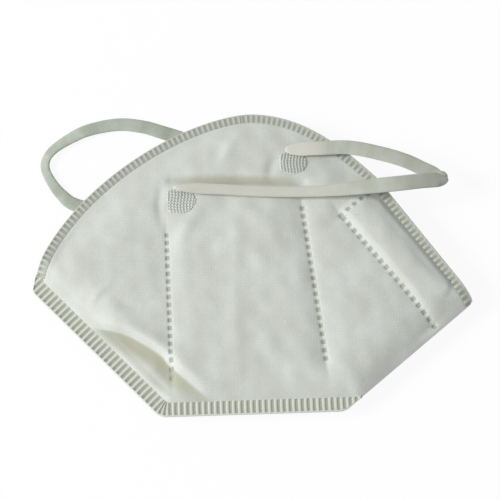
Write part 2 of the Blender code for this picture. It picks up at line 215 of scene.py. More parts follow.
def ripple(plan: Array, longest: float, shortest: float, seed: int) -> Array:
    """Gentle waves over the plan, between -1 and 1 for the most part.

    Args:
        plan: Plan points, in millimetres.
        longest: The longest wave.
        shortest: The shortest wave.
        seed: The seed of the waves' directions and phases.

    Returns:
        One height for each point.
    """
    draw = np.random.default_rng(seed)
    waves = 14
    total = np.zeros(plan.shape[:-1])
    for _ in range(waves):
        turn, phase = draw.uniform(0.0, 2.0 * math.pi, 2)
        length = math.exp(draw.uniform(math.log(shortest), math.log(longest)))
        run = plan[..., 0] * math.cos(turn) + plan[..., 1] * math.sin(turn)
        total += np.sin(2.0 * math.pi * run / length + phase)
    return total / math.sqrt(2.0 * waves)


def smooth_route(points: Array, steps: int) -> Array:
    """Points of a smooth curve through a route's own points.

    Args:
        points: The route's points, one row each.
        steps: How many stations stand between two of them.

    Returns:
        The stations, from the first point to the last.
    """
    ends = np.vstack([2 * points[0] - points[1], points, 2 * points[-1] - points[-2]])
    share = (np.arange(steps) / steps)[:, None]
    stations = []
    for a, b, c, d in zip(ends, ends[1:], ends[2:], ends[3:]):
        pull = (c - a) * share + (2 * a - 5 * b + 4 * c - d) * share**2 + (3 * b - a - 3 * c + d) * share**3
        stations.append(b + pull / 2)
    return np.vstack([*stations, points[-1:]])


class Run:
    """A run of plan points that is read by the distance along it."""

    def __init__(self, points: Array) -> None:
        """Measures the run.

        Args:
            points: The run's points, one row each.
        """
        self.points = np.asarray(points, float)
        steps = np.linalg.norm(np.diff(self.points, axis=0), axis=1)
        self.marks = np.concatenate([[0.0], np.cumsum(steps)])

    @property
    def length(self) -> float:
        """The whole length."""
        return float(self.marks[-1])

    def at(self, distance: Array) -> Array:
        """The points at some distances along the run."""
        axes = range(self.points.shape[1])
        return np.stack([np.interp(distance, self.marks, self.points[:, k]) for k in axes], axis=-1)

    def ways(self, distance: Array, reach: float = 0.4) -> Array:
        """The directions of the run at some distances along it."""
        ahead = self.at(np.minimum(np.asarray(distance) + reach, self.length))
        return unit(ahead - self.at(np.maximum(np.asarray(distance) - reach, 0.0)))

    def crossing(self, start: Array, way: Array) -> float:
        """The distance at which the run first passes the line through start along way."""
        sides = (self.points - start) @ left_of(way)
        i = int(np.nonzero((sides[:-1] < 0) != (sides[1:] < 0))[0][0])
        gap = self.marks[i + 1] - self.marks[i]
        return float(self.marks[i] + gap * sides[i] / (sides[i] - sides[i + 1]))

    def nearest(self, plan: Array) -> tuple[Array, Array]:
        """The way from points to the run.

        Args:
            plan: Plan points, of any shape with 2 as its last size.

        Returns:
            Each point's distance from the run, and the distance along the run of its nearest place.
        """
        best = np.full(plan.shape[:-1], np.inf)
        along = np.zeros(plan.shape[:-1])
        for p, q, mark in zip(self.points, self.points[1:], self.marks):
            run = q - p
            share = np.clip(((plan - p) @ run) / (run @ run), 0.0, 1.0)
            far = np.linalg.norm(plan - p - share[..., None] * run, axis=-1)
            closer = far < best
            best = np.where(closer, far, best)
            along = np.where(closer, mark + share * np.linalg.norm(run), along)
        return best, along


class RoundCorner:
    """A sharp corner of a plan outline that is eased into an arc."""

    def __init__(self, apex: Array, first: Array, second: Array, radius: float) -> None:
        """Places the arc.

        Args:
            apex: The sharp corner.
            first: The direction from the corner along one side.
            second: The direction from the corner along the other side.
            radius: The arc's radius.
        """
        half = math.acos(float(first @ second)) / 2
        self.radius = radius
        self.centre = apex + unit(first + second) * radius / math.sin(half)
        self.out = unit(apex - self.centre)
        self.span = math.pi / 2 - half

    def ease(self, plan: Array) -> Array:
        """Moves points near the sharp corner inside the arc.

        Args:
            plan: Plan points inside the sharp outline.

        Returns:
            The points inside the eased outline.
        """
        arm = plan - self.centre
        far = np.linalg.norm(arm, axis=-1)
        turn = np.arccos(np.clip((arm @ self.out) / np.maximum(far, 1e-9), -1.0, 1.0))
        sharp = self.radius / np.cos(np.clip(self.span - turn, 0.0, self.span))
        pull = 1.0 + (self.radius / sharp - 1.0) * np.clip(far / sharp, 0.0, 1.0) ** 3
        return np.where((turn < self.span)[..., None], self.centre + arm * pull[..., None], plan)


@dataclass(frozen=True)
class Outline:
    """Driving sizes of one folded half: the solids' seams and creases, and edges within 2 mm of theirs."""

    chin_corner: Point = (-79.6, -13.338)
    seam_corner: Point = (-32.7, -59.66)
    front_tip: Point = (32.6, -57.5)
    nose_corner: Point = (79.88, -16.9)
    brow: Point = (45.9, 29.9)
    crown: Point = (-0.9, 55.6)
    arch_power: float = 1.57
    crown_reach: float = 18.9
    brow_reach: float = 14.1
    front_width: float = 5.0
    chin_width: float = 5.507
    chin_lean: float = 2.0
    nose_lean: float = 7.7
    nose_radius: float = 2.4
    arch_steps: int = 60


@dataclass(frozen=True)
class Panel:
    """One panel of a half, ruled between its seam line and its stretch of the face edge."""

    name: str
    seam_start: Array
    seam_end: Array
    face_start: float
    face_end: float
    face: Run

    @property
    def width(self) -> float:
        """The panel's width along its seam line."""
        return float(np.linalg.norm(self.seam_end - self.seam_start))

    def at(self, across: Array, up: Array) -> Array:
        """The panel's plan points.

        Args:
            across: Shares across the panel, one for each column.
            up: Shares from the seam line up to the face edge, one for each row, or rows of them.

        Returns:
            The points, as rows of columns.
        """
        seam = self.seam_start + (self.seam_end - self.seam_start) * across[:, None]
        face = self.face.at(self.face_start + (self.face_end - self.face_start) * across)
        rise = up if up.ndim == 2 else np.repeat(up[:, None], len(across), axis=1)
        return seam[None] + (face - seam)[None] * rise[..., None]

    def height(self, across: Array) -> Array:
        """The panel's height at some shares across it."""
        ends = self.at(across, np.array([0.0, 1.0]))
        return np.linalg.norm(ends[1] - ends[0], axis=-1)


class Pattern:
    """The lines of one half that its fabric, welds and creases share."""

    def __init__(self, size: Outline) -> None:
        """Works the lines out.

        Args:
            size: The driving sizes.
        """
        self.size = size
        self.chin_corner, self.seam_corner = np.array(size.chin_corner), np.array(size.seam_corner)
        self.front_tip, self.nose_corner = np.array(size.front_tip), np.array(size.nose_corner)
        self.front_way = unit(self.front_tip - self.seam_corner)
        self.chin_way = unit(self.seam_corner - self.chin_corner)
        self.fold_way = unit(self.nose_corner - self.front_tip)
        front_line = self.seam_corner + left_of(self.front_way) * size.front_width
        chin_line = self.seam_corner + left_of(self.chin_way) * size.chin_width
        self.chin_vertex = meet(front_line, self.front_way, chin_line, self.chin_way)
        self.nose_vertex = meet(front_line, self.front_way, self.front_tip, self.fold_way)
        self.face = Run(self.face_points())
        self.chin_end_mark = self.face.crossing(chin_line, self.chin_way)
        self.chin_end = self.face.at(self.chin_end_mark)
        chin_crease = np.array((-math.tan(math.radians(size.chin_lean)), 1.0))
        nose_crease = np.array((-math.tan(math.radians(size.nose_lean)), 1.0))
        chin_mark = self.face.crossing(self.chin_vertex, unit(chin_crease))
        nose_mark = self.face.crossing(self.nose_vertex, unit(nose_crease))
        end_mark = self.face.length
        self.chin = Panel("chin", self.chin_end, self.chin_vertex, self.chin_end_mark, chin_mark, self.face)
        self.cheek = Panel("cheek", self.chin_vertex, self.nose_vertex, chin_mark, nose_mark, self.face)
        self.nose = Panel("nose", self.nose_vertex, self.nose_corner, nose_mark, end_mark, self.face)
        self.middle_mark = (chin_mark + nose_mark) / 2
        self.chin_seam = Run(np.array([self.chin_end, self.chin_vertex]))
        self.front_seam = Run(np.array([self.chin_vertex, self.nose_vertex]))
        self.nose_fold = Run(np.array([self.nose_vertex, self.nose_corner]))
        self.hinge_lines = (self.chin_seam, self.front_seam, self.nose_fold)
        self.brow_mark = float(self.face.marks[-2])
        away = unit(np.array(size.brow) - self.nose_corner)
        self.nose_round = RoundCorner(self.nose_corner, -self.fold_way, away, size.nose_radius)

    @property
    def panels(self) -> tuple[Panel, Panel, Panel]:
        """The three panels, from the chin to the nose."""
        return self.chin, self.cheek, self.nose

    def face_points(self) -> Array:
        """The open edge, from the chin corner over the crown and the brow to the nose corner."""
        size = self.size
        crown, brow = np.array(size.crown), np.array(size.brow)
        turn = np.linspace(0.0, math.pi / 2, size.arch_steps, endpoint=False)
        across, up = np.cos(turn) ** (2 / size.arch_power), np.sin(turn) ** (2 / size.arch_power)
        rising = np.stack([
            crown[0] + (self.chin_corner[0] - crown[0]) * across,
            self.chin_corner[1] + (crown[1] - self.chin_corner[1]) * up,
        ], axis=1)
        t = np.linspace(0.0, 1.0, size.arch_steps)[:, None]
        u = 1 - t
        pull, push = crown + (size.crown_reach, 0.0), brow + (-size.brow_reach, size.brow_reach)
        falling = crown * u**3 + 3 * pull * t * u**2 + 3 * push * t**2 * u + brow * t**3
        return np.vstack([rising, falling, self.nose_corner])


class Recipe:
    """Adds shader nodes to a material or a world and links them."""

    def __init__(self, owner: bpy.types.Material | bpy.types.World) -> None:
        """Starts from the owner's first nodes.

        Args:
            owner: The material or the world.
        """
        owner.use_nodes = True
        self.owner = owner
        self.nodes = owner.node_tree.nodes
        self.links = owner.node_tree.links
        self.shader = self.nodes.get("Principled BSDF") or self.nodes["Background"]

    def fill(self, node: bpy.types.Node, inputs: dict[str | int, Value]) -> None:
        """Sets inputs of a node to values, or links them to sockets."""
        for label, value in inputs.items():
            if isinstance(value, Socket):
                self.links.new(value, node.inputs[label])
            else:
                node.inputs[label].default_value = value

    def add(self, kind: str, inputs: dict[str | int, Value], **settings: str) -> bpy.types.Node:
        """A new node.

        Args:
            kind: The node's kind, without the words that every kind starts with.
            inputs: Its inputs, by name or number.
            settings: Its settings, by name.

        Returns:
            The node.
        """
        node = self.nodes.new(f"ShaderNode{kind}")
        for label, setting in settings.items():
            setattr(node, label, setting)
        self.fill(node, inputs)
        return node

    def end(self, share: Socket, first: Socket, second: Socket) -> None:
        """Shows a mix of two shaders."""
        mixed = self.add("MixShader", {0: share, 1: first, 2: second})
        output = next(node for node in self.nodes if node.name.endswith("Output"))
        self.fill(output, {"Surface": mixed.outputs["Shader"]})

    def math(self, operation: str, first: Value, second: Value = 0.0) -> Socket:
        """The result of one Math node."""
        return self.add("Math", {0: first, 1: second}, operation=operation).outputs[0]

    def total(self, *parts: tuple[Socket, float]) -> Socket:
        """The sum of some numbers, each times its weight."""
        result, *rest = [self.math("MULTIPLY", value, weight) for value, weight in parts]
        for part in rest:
            result = self.math("ADD", result, part)
        return result

    def step(self, value: Socket, low: float, high: float) -> Socket:
        """A share that goes smoothly from 0 where the value is low to 1 where it is high."""
        ends = {"From Min": min(low, high), "From Max": max(low, high)}
        results = {"To Min": float(low > high), "To Max": float(low <= high)}
        node = self.add("MapRange", {"Value": value, **ends, **results}, interpolation_type="SMOOTHSTEP")
        return node.outputs["Result"]

    def seen(self) -> Socket:
        """Whether a ray is one that shows the surround: camera, glossy or transmission."""
        path = self.add("LightPath", {}).outputs
        either = self.math("MAXIMUM", path["Is Camera Ray"], path["Is Glossy Ray"])
        return self.math("MAXIMUM", either, path["Is Transmission Ray"])

    def attribute(self, name: str) -> Socket:
        """A number that is stored at the mesh's points."""
        return self.add("Attribute", {}, attribute_name=name).outputs["Fac"]

    def flat(self, stretch: Place) -> Socket:
        """The flat cloth's own coordinates, stretched along its two ways."""
        place = self.add("UVMap", {}, uv_map="flat").outputs["UV"]
        return self.add("Mapping", {"Vector": place, "Scale": stretch}).outputs["Vector"]

    def noise(self, stretch: Place, detail: float) -> Socket:
        """A noise over the flat cloth, with a number of cells each way per 100 mm."""
        inputs = {"Vector": self.flat(stretch), "Scale": 1.0, "Detail": detail}
        return self.add("TexNoise", inputs).outputs["Fac"]

    def wave(self, way: str, stretch: Place, scale: float, waver: float) -> Socket:
        """Soft bands over the flat cloth along one of its ways, with a little wavering."""
        inputs = {"Vector": self.flat(stretch), "Scale": scale, "Distortion": waver}
        return self.add("TexWave", inputs, bands_direction=way).outputs["Fac"]

    def mix(self, share: Socket, first: Socket | Colour, second: Socket | Colour) -> Socket:
        """A colour between two others."""
        first, second = (c if isinstance(c, Socket) else (*c, 1.0) for c in (first, second))
        return self.add("Mix", {0: share, 6: first, 7: second}, data_type="RGBA").outputs[2]

    def bump(self, height: Socket, distance: float, strength: float) -> None:
        """Roughens the surface by a height, over a distance in millimetres."""
        node = self.add("Bump", {"Height": height, "Distance": distance * MM, "Strength": strength})
        self.fill(self.shader, {"Normal": node.outputs["Normal"]})

    def pressed(self, half: float, soft: float) -> Socket:
        """The share of pressed weld, one mark for each whole number along and from -1 to 1 across."""
        phase = self.math("SUBTRACT", self.math("FRACT", self.attribute("weld_along")), 0.5)
        across = self.math("ABSOLUTE", self.attribute("weld_across"))
        bar = self.step(self.math("ABSOLUTE", phase), half + soft, half - soft)
        return self.math("MULTIPLY", bar, self.step(across, 1.0 + 2 * soft, 1.0 - 2 * soft))


@dataclass(frozen=True)
class FabricFinish:
    """Spunbonded fabric: soft fibres along the cloth, faint clouds of tone, pressed weld marks, and a warm
    painted shade in its valleys.
    """

    name: str
    light: Colour
    shade: Colour
    fibres: float = 700.0
    weld: Colour = (0.36, 0.38, 0.33)
    # The warm darker colour that is painted into the valleys as shade.
    hollow: Colour = (0.40, 0.405, 0.315)
    bonds: float = 1.05

    def material(self) -> bpy.types.Material:
        """The finish as a material."""
        recipe = Recipe(bpy.data.materials.new(self.name))
        fibre = recipe.noise((self.fibres, self.fibres * 0.09, 1.0), 2.0)
        felt = recipe.noise((self.fibres * 0.7, self.fibres * 0.45, 1.0), 4.0)
        cloud = recipe.noise((9.0, 6.0, 1.0), 3.0)
        rows, columns = (recipe.wave(w, (1.0, 1.0, 1.0), 10.0 * math.pi / self.bonds, 0.8) for w in "XY")
        weave = recipe.math("MULTIPLY", rows, columns)
        tone = recipe.total((fibre, 0.35), (cloud, 0.5), (weave, 0.06))
        cloth = recipe.mix(recipe.step(tone, 0.33, 0.60), self.shade, self.light)
        # Painted shade: the cloth darkens toward a warm colour by the share stored in its valleys.
        cloth = recipe.mix(recipe.attribute("hollow"), cloth, self.hollow)
        recipe.fill(recipe.shader, {
            "Base Color": recipe.mix(recipe.pressed(0.27, 0.06), cloth, self.weld),
            "Roughness": 0.85,
            "Specular IOR Level": 0.25,
            "Sheen Weight": 0.12,
            "Sheen Roughness": 0.5,
        })
        recipe.bump(recipe.total((fibre, 1.0), (felt, 0.8), (weave, 0.25)), 0.12, 0.5)
        return recipe.owner


@dataclass(frozen=True)
class WeldFinish:
    """A fused edge: fibrous light ribs between glassy pressed bars."""

    name: str
    rib: Colour
    bar: Colour

    def material(self) -> bpy.types.Material:
        """The finish as a material."""
        recipe = Recipe(bpy.data.materials.new(self.name))
        fibre = recipe.noise((500.0, 160.0, 1.0), 3.0)
        tone = recipe.step(fibre, 0.3, 0.7)
        pressed = recipe.pressed(0.28, 0.05)
        rib = recipe.mix(tone, tuple(0.9 * c for c in self.rib), self.rib)
        bar = recipe.mix(tone, self.bar, tuple(1.15 * c for c in self.bar))
        recipe.fill(recipe.shader, {
            "Base Color": recipe.mix(pressed, rib, bar),
            "Roughness": recipe.math("SUBTRACT", 0.8, recipe.math("MULTIPLY", pressed, 0.3)),
            "Specular IOR Level": 0.3,
        })
        recipe.bump(fibre, 0.08, 0.5)
        return recipe.owner


@dataclass(frozen=True)
class BandFinish:
    """Knitted elastic: fine wales along the band and courses across it, drawn paler where light is painted
    on.
    """

    name: str
    light: Colour
    shade: Colour
    # The paler colour that is painted on as light.
    worn: Colour
    wales: float = 260.0
    courses: float = 120.0

    def material(self) -> bpy.types.Material:
        """The finish as a material."""
        recipe = Recipe(bpy.data.materials.new(self.name))
        wale = recipe.wave("Y", (self.courses, self.wales, 1.0), 1.0, 1.2)
        course = recipe.noise((self.courses, self.wales * 0.4, 1.0), 2.0)
        cloud = recipe.noise((14.0, 5.0, 1.0), 2.0)
        tone = recipe.total((course, 0.2), (cloud, 0.8))
        knit = recipe.mix(recipe.step(tone, 0.35, 0.62), self.shade, self.light)
        recipe.fill(recipe.shader, {
            # Painted light: the knit is drawn paler by the share stored at the band's points.
            "Base Color": recipe.mix(recipe.attribute("worn"), knit, self.worn),
            "Roughness": 0.8,
            "Specular IOR Level": 0.25,
            "Sheen Weight": 0.15,
        })
        recipe.bump(recipe.total((wale, 0.6), (course, 1.0)), 0.12, 0.4)
        return recipe.owner


@dataclass(frozen=True)
class WireFinish:
    """Drawn soft-metal strip with faint lengthwise scratches."""

    name: str
    metal: Colour
    scratches: Place = (900.0, 120.0, 900.0)

    def material(self) -> bpy.types.Material:
        """The finish as a material."""
        recipe = Recipe(bpy.data.materials.new(self.name))
        place = recipe.add("TexCoord", {}).outputs["Object"]
        stretched = recipe.add("Mapping", {"Vector": place, "Scale": self.scratches}).outputs["Vector"]
        scratch = recipe.add("TexNoise", {"Vector": stretched, "Scale": 1.0}).outputs["Fac"]
        recipe.fill(recipe.shader, {
            "Base Color": (*self.metal, 1.0),
            "Metallic": 1.0,
            "Roughness": recipe.step(scratch, -0.6, 1.6),
        })
        recipe.bump(scratch, 0.02, 0.4)
        return recipe.owner


FINISHES = (
    FabricFinish("outer_cover", (0.615, 0.645, 0.61), (0.53, 0.55, 0.505)),
    FabricFinish("inner_lining", (0.64, 0.67, 0.64), (0.57, 0.59, 0.56), 850.0),
    FabricFinish("cotton_layer", (0.76, 0.76, 0.72), (0.70, 0.70, 0.65), 380.0),
    FabricFinish("meltblown_filter", (0.80, 0.81, 0.80), (0.76, 0.77, 0.76), 1200.0),
    WeldFinish("weld_seam", (0.62, 0.65, 0.59), (0.32, 0.335, 0.275)),
    WeldFinish("edge_weld", (0.485, 0.515, 0.465), (0.295, 0.31, 0.26)),
    WeldFinish("loop_patch", (0.58, 0.61, 0.56), (0.31, 0.33, 0.29)),
    BandFinish("elastic_band", (0.455, 0.495, 0.43), (0.36, 0.40, 0.33), (0.61, 0.60, 0.535)),
    WireFinish("nose_wire", (0.70, 0.71, 0.72)),
)


def new_object(name: str, data: bpy.types.ID) -> Piece:
    """An object that is linked into the scene."""
    item = bpy.data.objects.new(name, data)
    bpy.context.scene.collection.objects.link(item)
    return item


def new_mesh(name: str, points: Array, faces: Array, flat: Array, numbers: Numbers) -> Piece:
    """A mesh object from arrays, shaded smooth.

    Args:
        name: The piece's name.
        points: The vertices, in millimetres.
        faces: The quads, as rows of four vertex numbers.
        flat: Each vertex's place on the flat cloth, in millimetres.
        numbers: Numbers to store at the vertices, by name.

    Returns:
        The object, linked into the scene.
    """
    mesh = bpy.data.meshes.new(name)
    mesh.vertices.add(points.size // 3)
    mesh.vertices.foreach_set("co", (points * MM).astype(np.float32).ravel())
    mesh.loops.add(faces.size)
    mesh.loops.foreach_set("vertex_index", faces.astype(np.int32).ravel())
    mesh.polygons.add(len(faces))
    mesh.polygons.foreach_set("loop_start", np.arange(0, faces.size, 4, dtype=np.int32))
    mesh.update(calc_edges=True)
    mesh.polygons.foreach_set("use_smooth", np.ones(len(faces), bool))
    corners = flat.reshape(-1, 2)[faces.ravel()]
    layer = mesh.uv_layers.new(name="flat")
    layer.uv.foreach_set("vector", (corners * UV_PER_MM).astype(np.float32).ravel())
    for label, values in numbers.items():
        stored = mesh.attributes.new(label, "FLOAT", "POINT").data
        stored.foreach_set("value", values.astype(np.float32).ravel())
    mesh.validate()
    return new_object(name, mesh)


def grid_faces(rows: int, columns: int, flip: bool) -> Array:
    """The quads of a grid of vertices, facing up unless flipped."""
    index = np.arange(rows * columns).reshape(rows, columns)
    corners = [index[:-1, :-1], index[:-1, 1:], index[1:, 1:], index[1:, :-1]]
    return np.stack(corners[::-1] if flip else corners, axis=-1).reshape(-1, 4)


def grid_piece(name: str, grid: Array, flat: Array, numbers: Numbers, flip: bool, thick: float) -> Piece:
    """A sheet through a grid of points, thickened away from the side that it faces.

    Args:
        name: The piece's name.
        grid: The points, as rows of columns, in millimetres.
        flat: Their places on the flat cloth.
        numbers: Numbers to store at the points, by name.
        flip: Whether the sheet faces down.
        thick: The sheet's thickness.

    Returns:
        The object.
    """
    rows, columns = grid.shape[:2]
    piece = new_mesh(name, grid, grid_faces(rows, columns, flip), flat, numbers)
    ends = np.empty(len(piece.data.edges) * 2, np.int32)
    piece.data.edges.foreach_get("vertices", ends)
    row, column = np.divmod(ends.reshape(-1, 2), columns)
    border = (np.isin(row, (0, rows - 1)).all(axis=1) & (row[:, 0] == row[:, 1])) | (
        np.isin(column, (0, columns - 1)).all(axis=1) & (column[:, 0] == column[:, 1])
    )
    piece.data.attributes.new("sharp_edge", "BOOLEAN", "EDGE").data.foreach_set("value", border)
    solid = piece.modifiers.new("thickness", "SOLIDIFY")
    solid.thickness = thick * MM
    solid.offset = -1.0
    return piece


def tube_piece(name: str, rings: Array, flat: Array, numbers: Numbers) -> Piece:
    """A closed piece through rings of points, with its ends filled by strips of quads.

    Args:
        name: The piece's name.
        rings: The rings, of an even number of points each, in millimetres.
        flat: The points' places on the flat cloth.
        numbers: Numbers to store at the points, by name.

    Returns:
        The object.
    """
    count, size = rings.shape[:2]
    index = np.arange(count * size).reshape(count, size)
    beside = np.roll(index, -1, axis=1)
    wall = np.stack([index[:-1], index[1:], beside[1:], beside[:-1]], axis=-1).reshape(-1, 4)
    i = np.arange(size // 2 - 1)
    cap = np.stack([i, i + 1, size - 2 - i, size - 1 - i], axis=-1)
    faces = np.vstack([wall, index[0][cap], index[-1][cap[:, ::-1]]])
    corners = rings.reshape(-1, 3)[faces]
    volume = np.einsum("ij,ij->i", corners[:, 0], np.cross(corners[:, 1], corners[:, 2])).sum()
    volume += np.einsum("ij,ij->i", corners[:, 0], np.cross(corners[:, 2], corners[:, 3])).sum()
    return new_mesh(name, rings, faces if volume > 0 else faces[:, ::-1], flat, numbers)


def hinge(frame: dict, name: str) -> tuple[dict, Array]:
    """A joint, and its place in millimetres."""
    joint = next(j for j in frame["joints"] if j["name"] == name)
    return joint, np.array(joint["pos_m"]) / MM


def bend_across(piece: Piece, frame: dict, name: str, toward: Array, before: float, after: float) -> None:
    """Bakes a piece's place into its mesh; it finds the child's side of the joint's axis but does not bend
    the piece.

    Args:
        piece: The piece.
        frame: The loaded frame.
        name: The joint's name.
        toward: A plan point on the child's side of the axis, in millimetres.
        before: Not used.
        after: Not used.
    """
    joint, place = hinge(frame, name)
    over = left_of(unit(np.array(joint["axis"])[:2]))
    over = over if (toward - place[:2]) @ over > 0 else -over
    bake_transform(piece)


@dataclass(frozen=True)
class DotLine:
    """A line of square weld dots in a valley whose two flanks rise at their own rates."""

    start: Point
    end: Point
    dots: int
    valley: float
    left_reach: float
    right_reach: float
    dot: float = 1.5
    soft: float = 0.22
    depth: float = 0.35
    fade: float = 7.0

    @property
    def length(self) -> float:
        """The distance between the middles of the first and the last dot."""
        return math.dist(self.start, self.end)

    def measure(self, plan: Array) -> tuple[Array, Array, Array, Array]:
        """Where points lie by the line.

        Args:
            plan: Plan points.

        Returns:
            The distance from the stretch, the distance to the left of the line, the place along it in
            dots, and the distance past its ends.
        """
        start = np.array(self.start)
        way = (np.array(self.end) - start) / self.length
        along = (plan - start) @ way
        across = (plan - start) @ left_of(way)
        past = np.maximum(np.maximum(-along, along - self.length), 0.0)
        return np.hypot(across, past), across, along / (self.length / (self.dots - 1)) + 0.5, past

    def sink(self, plan: Array) -> Array:
        """How far the fabric is drawn down into the valley and pressed at the dots."""
        _, across, along, past = self.measure(plan)
        reach = np.where(across > 0, self.left_reach, self.right_reach)
        valley = self.valley * np.exp(-np.hypot(across, 0.25) / reach) * np.exp(-((past / self.fade) ** 2))
        phase = off_middle(along) * self.length / (self.dots - 1)
        outer, inner = self.dot / 2 + self.soft, self.dot / 2 - self.soft
        inside = (along > 0.0) & (along < self.dots)
        mark = smooth(outer, inner, phase) * smooth(outer, inner, np.abs(across)) * inside
        return valley + self.depth * mark


@dataclass(frozen=True)
class Pucker:
    """A soft ridge of the fabric, or a valley where its height is negative."""

    route: tuple[Point, ...]
    height: float
    reach: float
    right_reach: float = 0.0

    def rise(self, plan: Array, narrow: float = 1.0) -> Array:
        """How far the fabric rises at some points, with the steeper flank of two drawn in."""
        run = Run(smooth_route(np.array(self.route, float), 4))
        far, along = run.nearest(plan)
        fade = np.sin(np.pi * np.clip(0.08 + 0.84 * along / run.length, 0.0, 1.0)) ** 0.6
        left = ((plan - run.at(along)) * left_of(run.ways(along))).sum(axis=-1) > 0.0
        reach = np.where(left, self.reach * narrow, self.right_reach) if self.right_reach else self.reach
        return self.height * np.exp(-((far / reach) ** 2)) * fade


DOT_LINES = (
    DotLine((-31.1, 7.2), (-28.4, -45.7), 19, 1.5, 3.4, 26.0),
    DotLine((18.3, 17.8), (26.0, -39.1), 20, 1.5, 3.4, 4.6),
    DotLine((33.4, 13.7), (65.1, -26.6), 18, 1.3, 3.6, 7.0),
    DotLine((32.4, 14.9), (42.4, 23.2), 5, 0.7, 3.0, 3.0),
)

POCKET_RISE = {Side.RIGHT: 1.45, Side.LEFT: 0.3}
RIPPLE_SEED = {Side.RIGHT: 11, Side.LEFT: 23}

PUCKERS = {
    Side.RIGHT: (
        Pucker(
            ((-57.5, -25.0), (-47.5, -26.6), (-39.5, -30.2), (-32.0, -35.0), (-27.0, -39.6), (-13.5, -52.0)),
            0.8, 3.4, 1.8,
        ),
        Pucker(
            ((-57.0, -27.6), (-47.1, -29.7), (-39.9, -33.4), (-32.7, -38.2), (-29.1, -42.4), (-16.0, -53.6)),
            -1.8, 1.5, 6.0,
        ),
        Pucker(((-48.0, -18.0), (-44.8, -19.9), (-40.0, -20.8)), -0.6, 2.6),
        Pucker(((-51.1, -11.6), (-55.6, -15.3), (-58.0, -19.9)), 0.4, 1.6),
        Pucker(((-31.0, 24.4), (-14.0, 23.8), (4.0, 23.0), (22.0, 22.8)), 0.15, 2.8),
        Pucker(((-29.5, 28.4), (-14.0, 28.4), (2.0, 28.2), (18.0, 27.6)), -1.5, 1.9),
        Pucker(((-19.0, 18.0), (-24.0, 10.0), (-27.0, 2.0)), 0.6, 2.8),
        Pucker(((-5.0, 19.0), (4.0, 13.5), (10.0, 5.0)), 0.55, 4.5),
        Pucker(((-5.5, 12.0), (-6.5, -16.0), (-4.0, -46.0)), 0.3, 2.6),
        Pucker(((-33.6, 25.0), (-34.2, 18.5), (-33.2, 12.0)), -0.55, 1.7),
        Pucker(((8.2, 37.0), (6.6, 33.5), (6.0, 30.0)), -0.6, 1.9),
        Pucker(((-6.5, 45.0), (-9.0, 41.0), (-11.5, 37.0)), 0.4, 2.4),
        Pucker(((-10.5, 44.0), (-12.5, 40.0), (-14.5, 36.0)), -0.4, 2.8),
        Pucker(((8.0, 31.0), (2.0, 27.0), (-4.0, 22.0)), 0.3, 3.0),
    ),
    Side.LEFT: (
        Pucker(((-60.0, -18.0), (-47.0, -24.0), (-38.0, -33.0), (-30.0, -47.0)), 0.6, 3.4),
        Pucker(((-10.0, -50.0), (-4.0, -40.0), (-2.0, -26.0)), 0.5, 4.0),
        Pucker(((44.0, -42.0), (38.0, -30.0), (36.0, -16.0)), -0.5, 3.0),
    ),
}


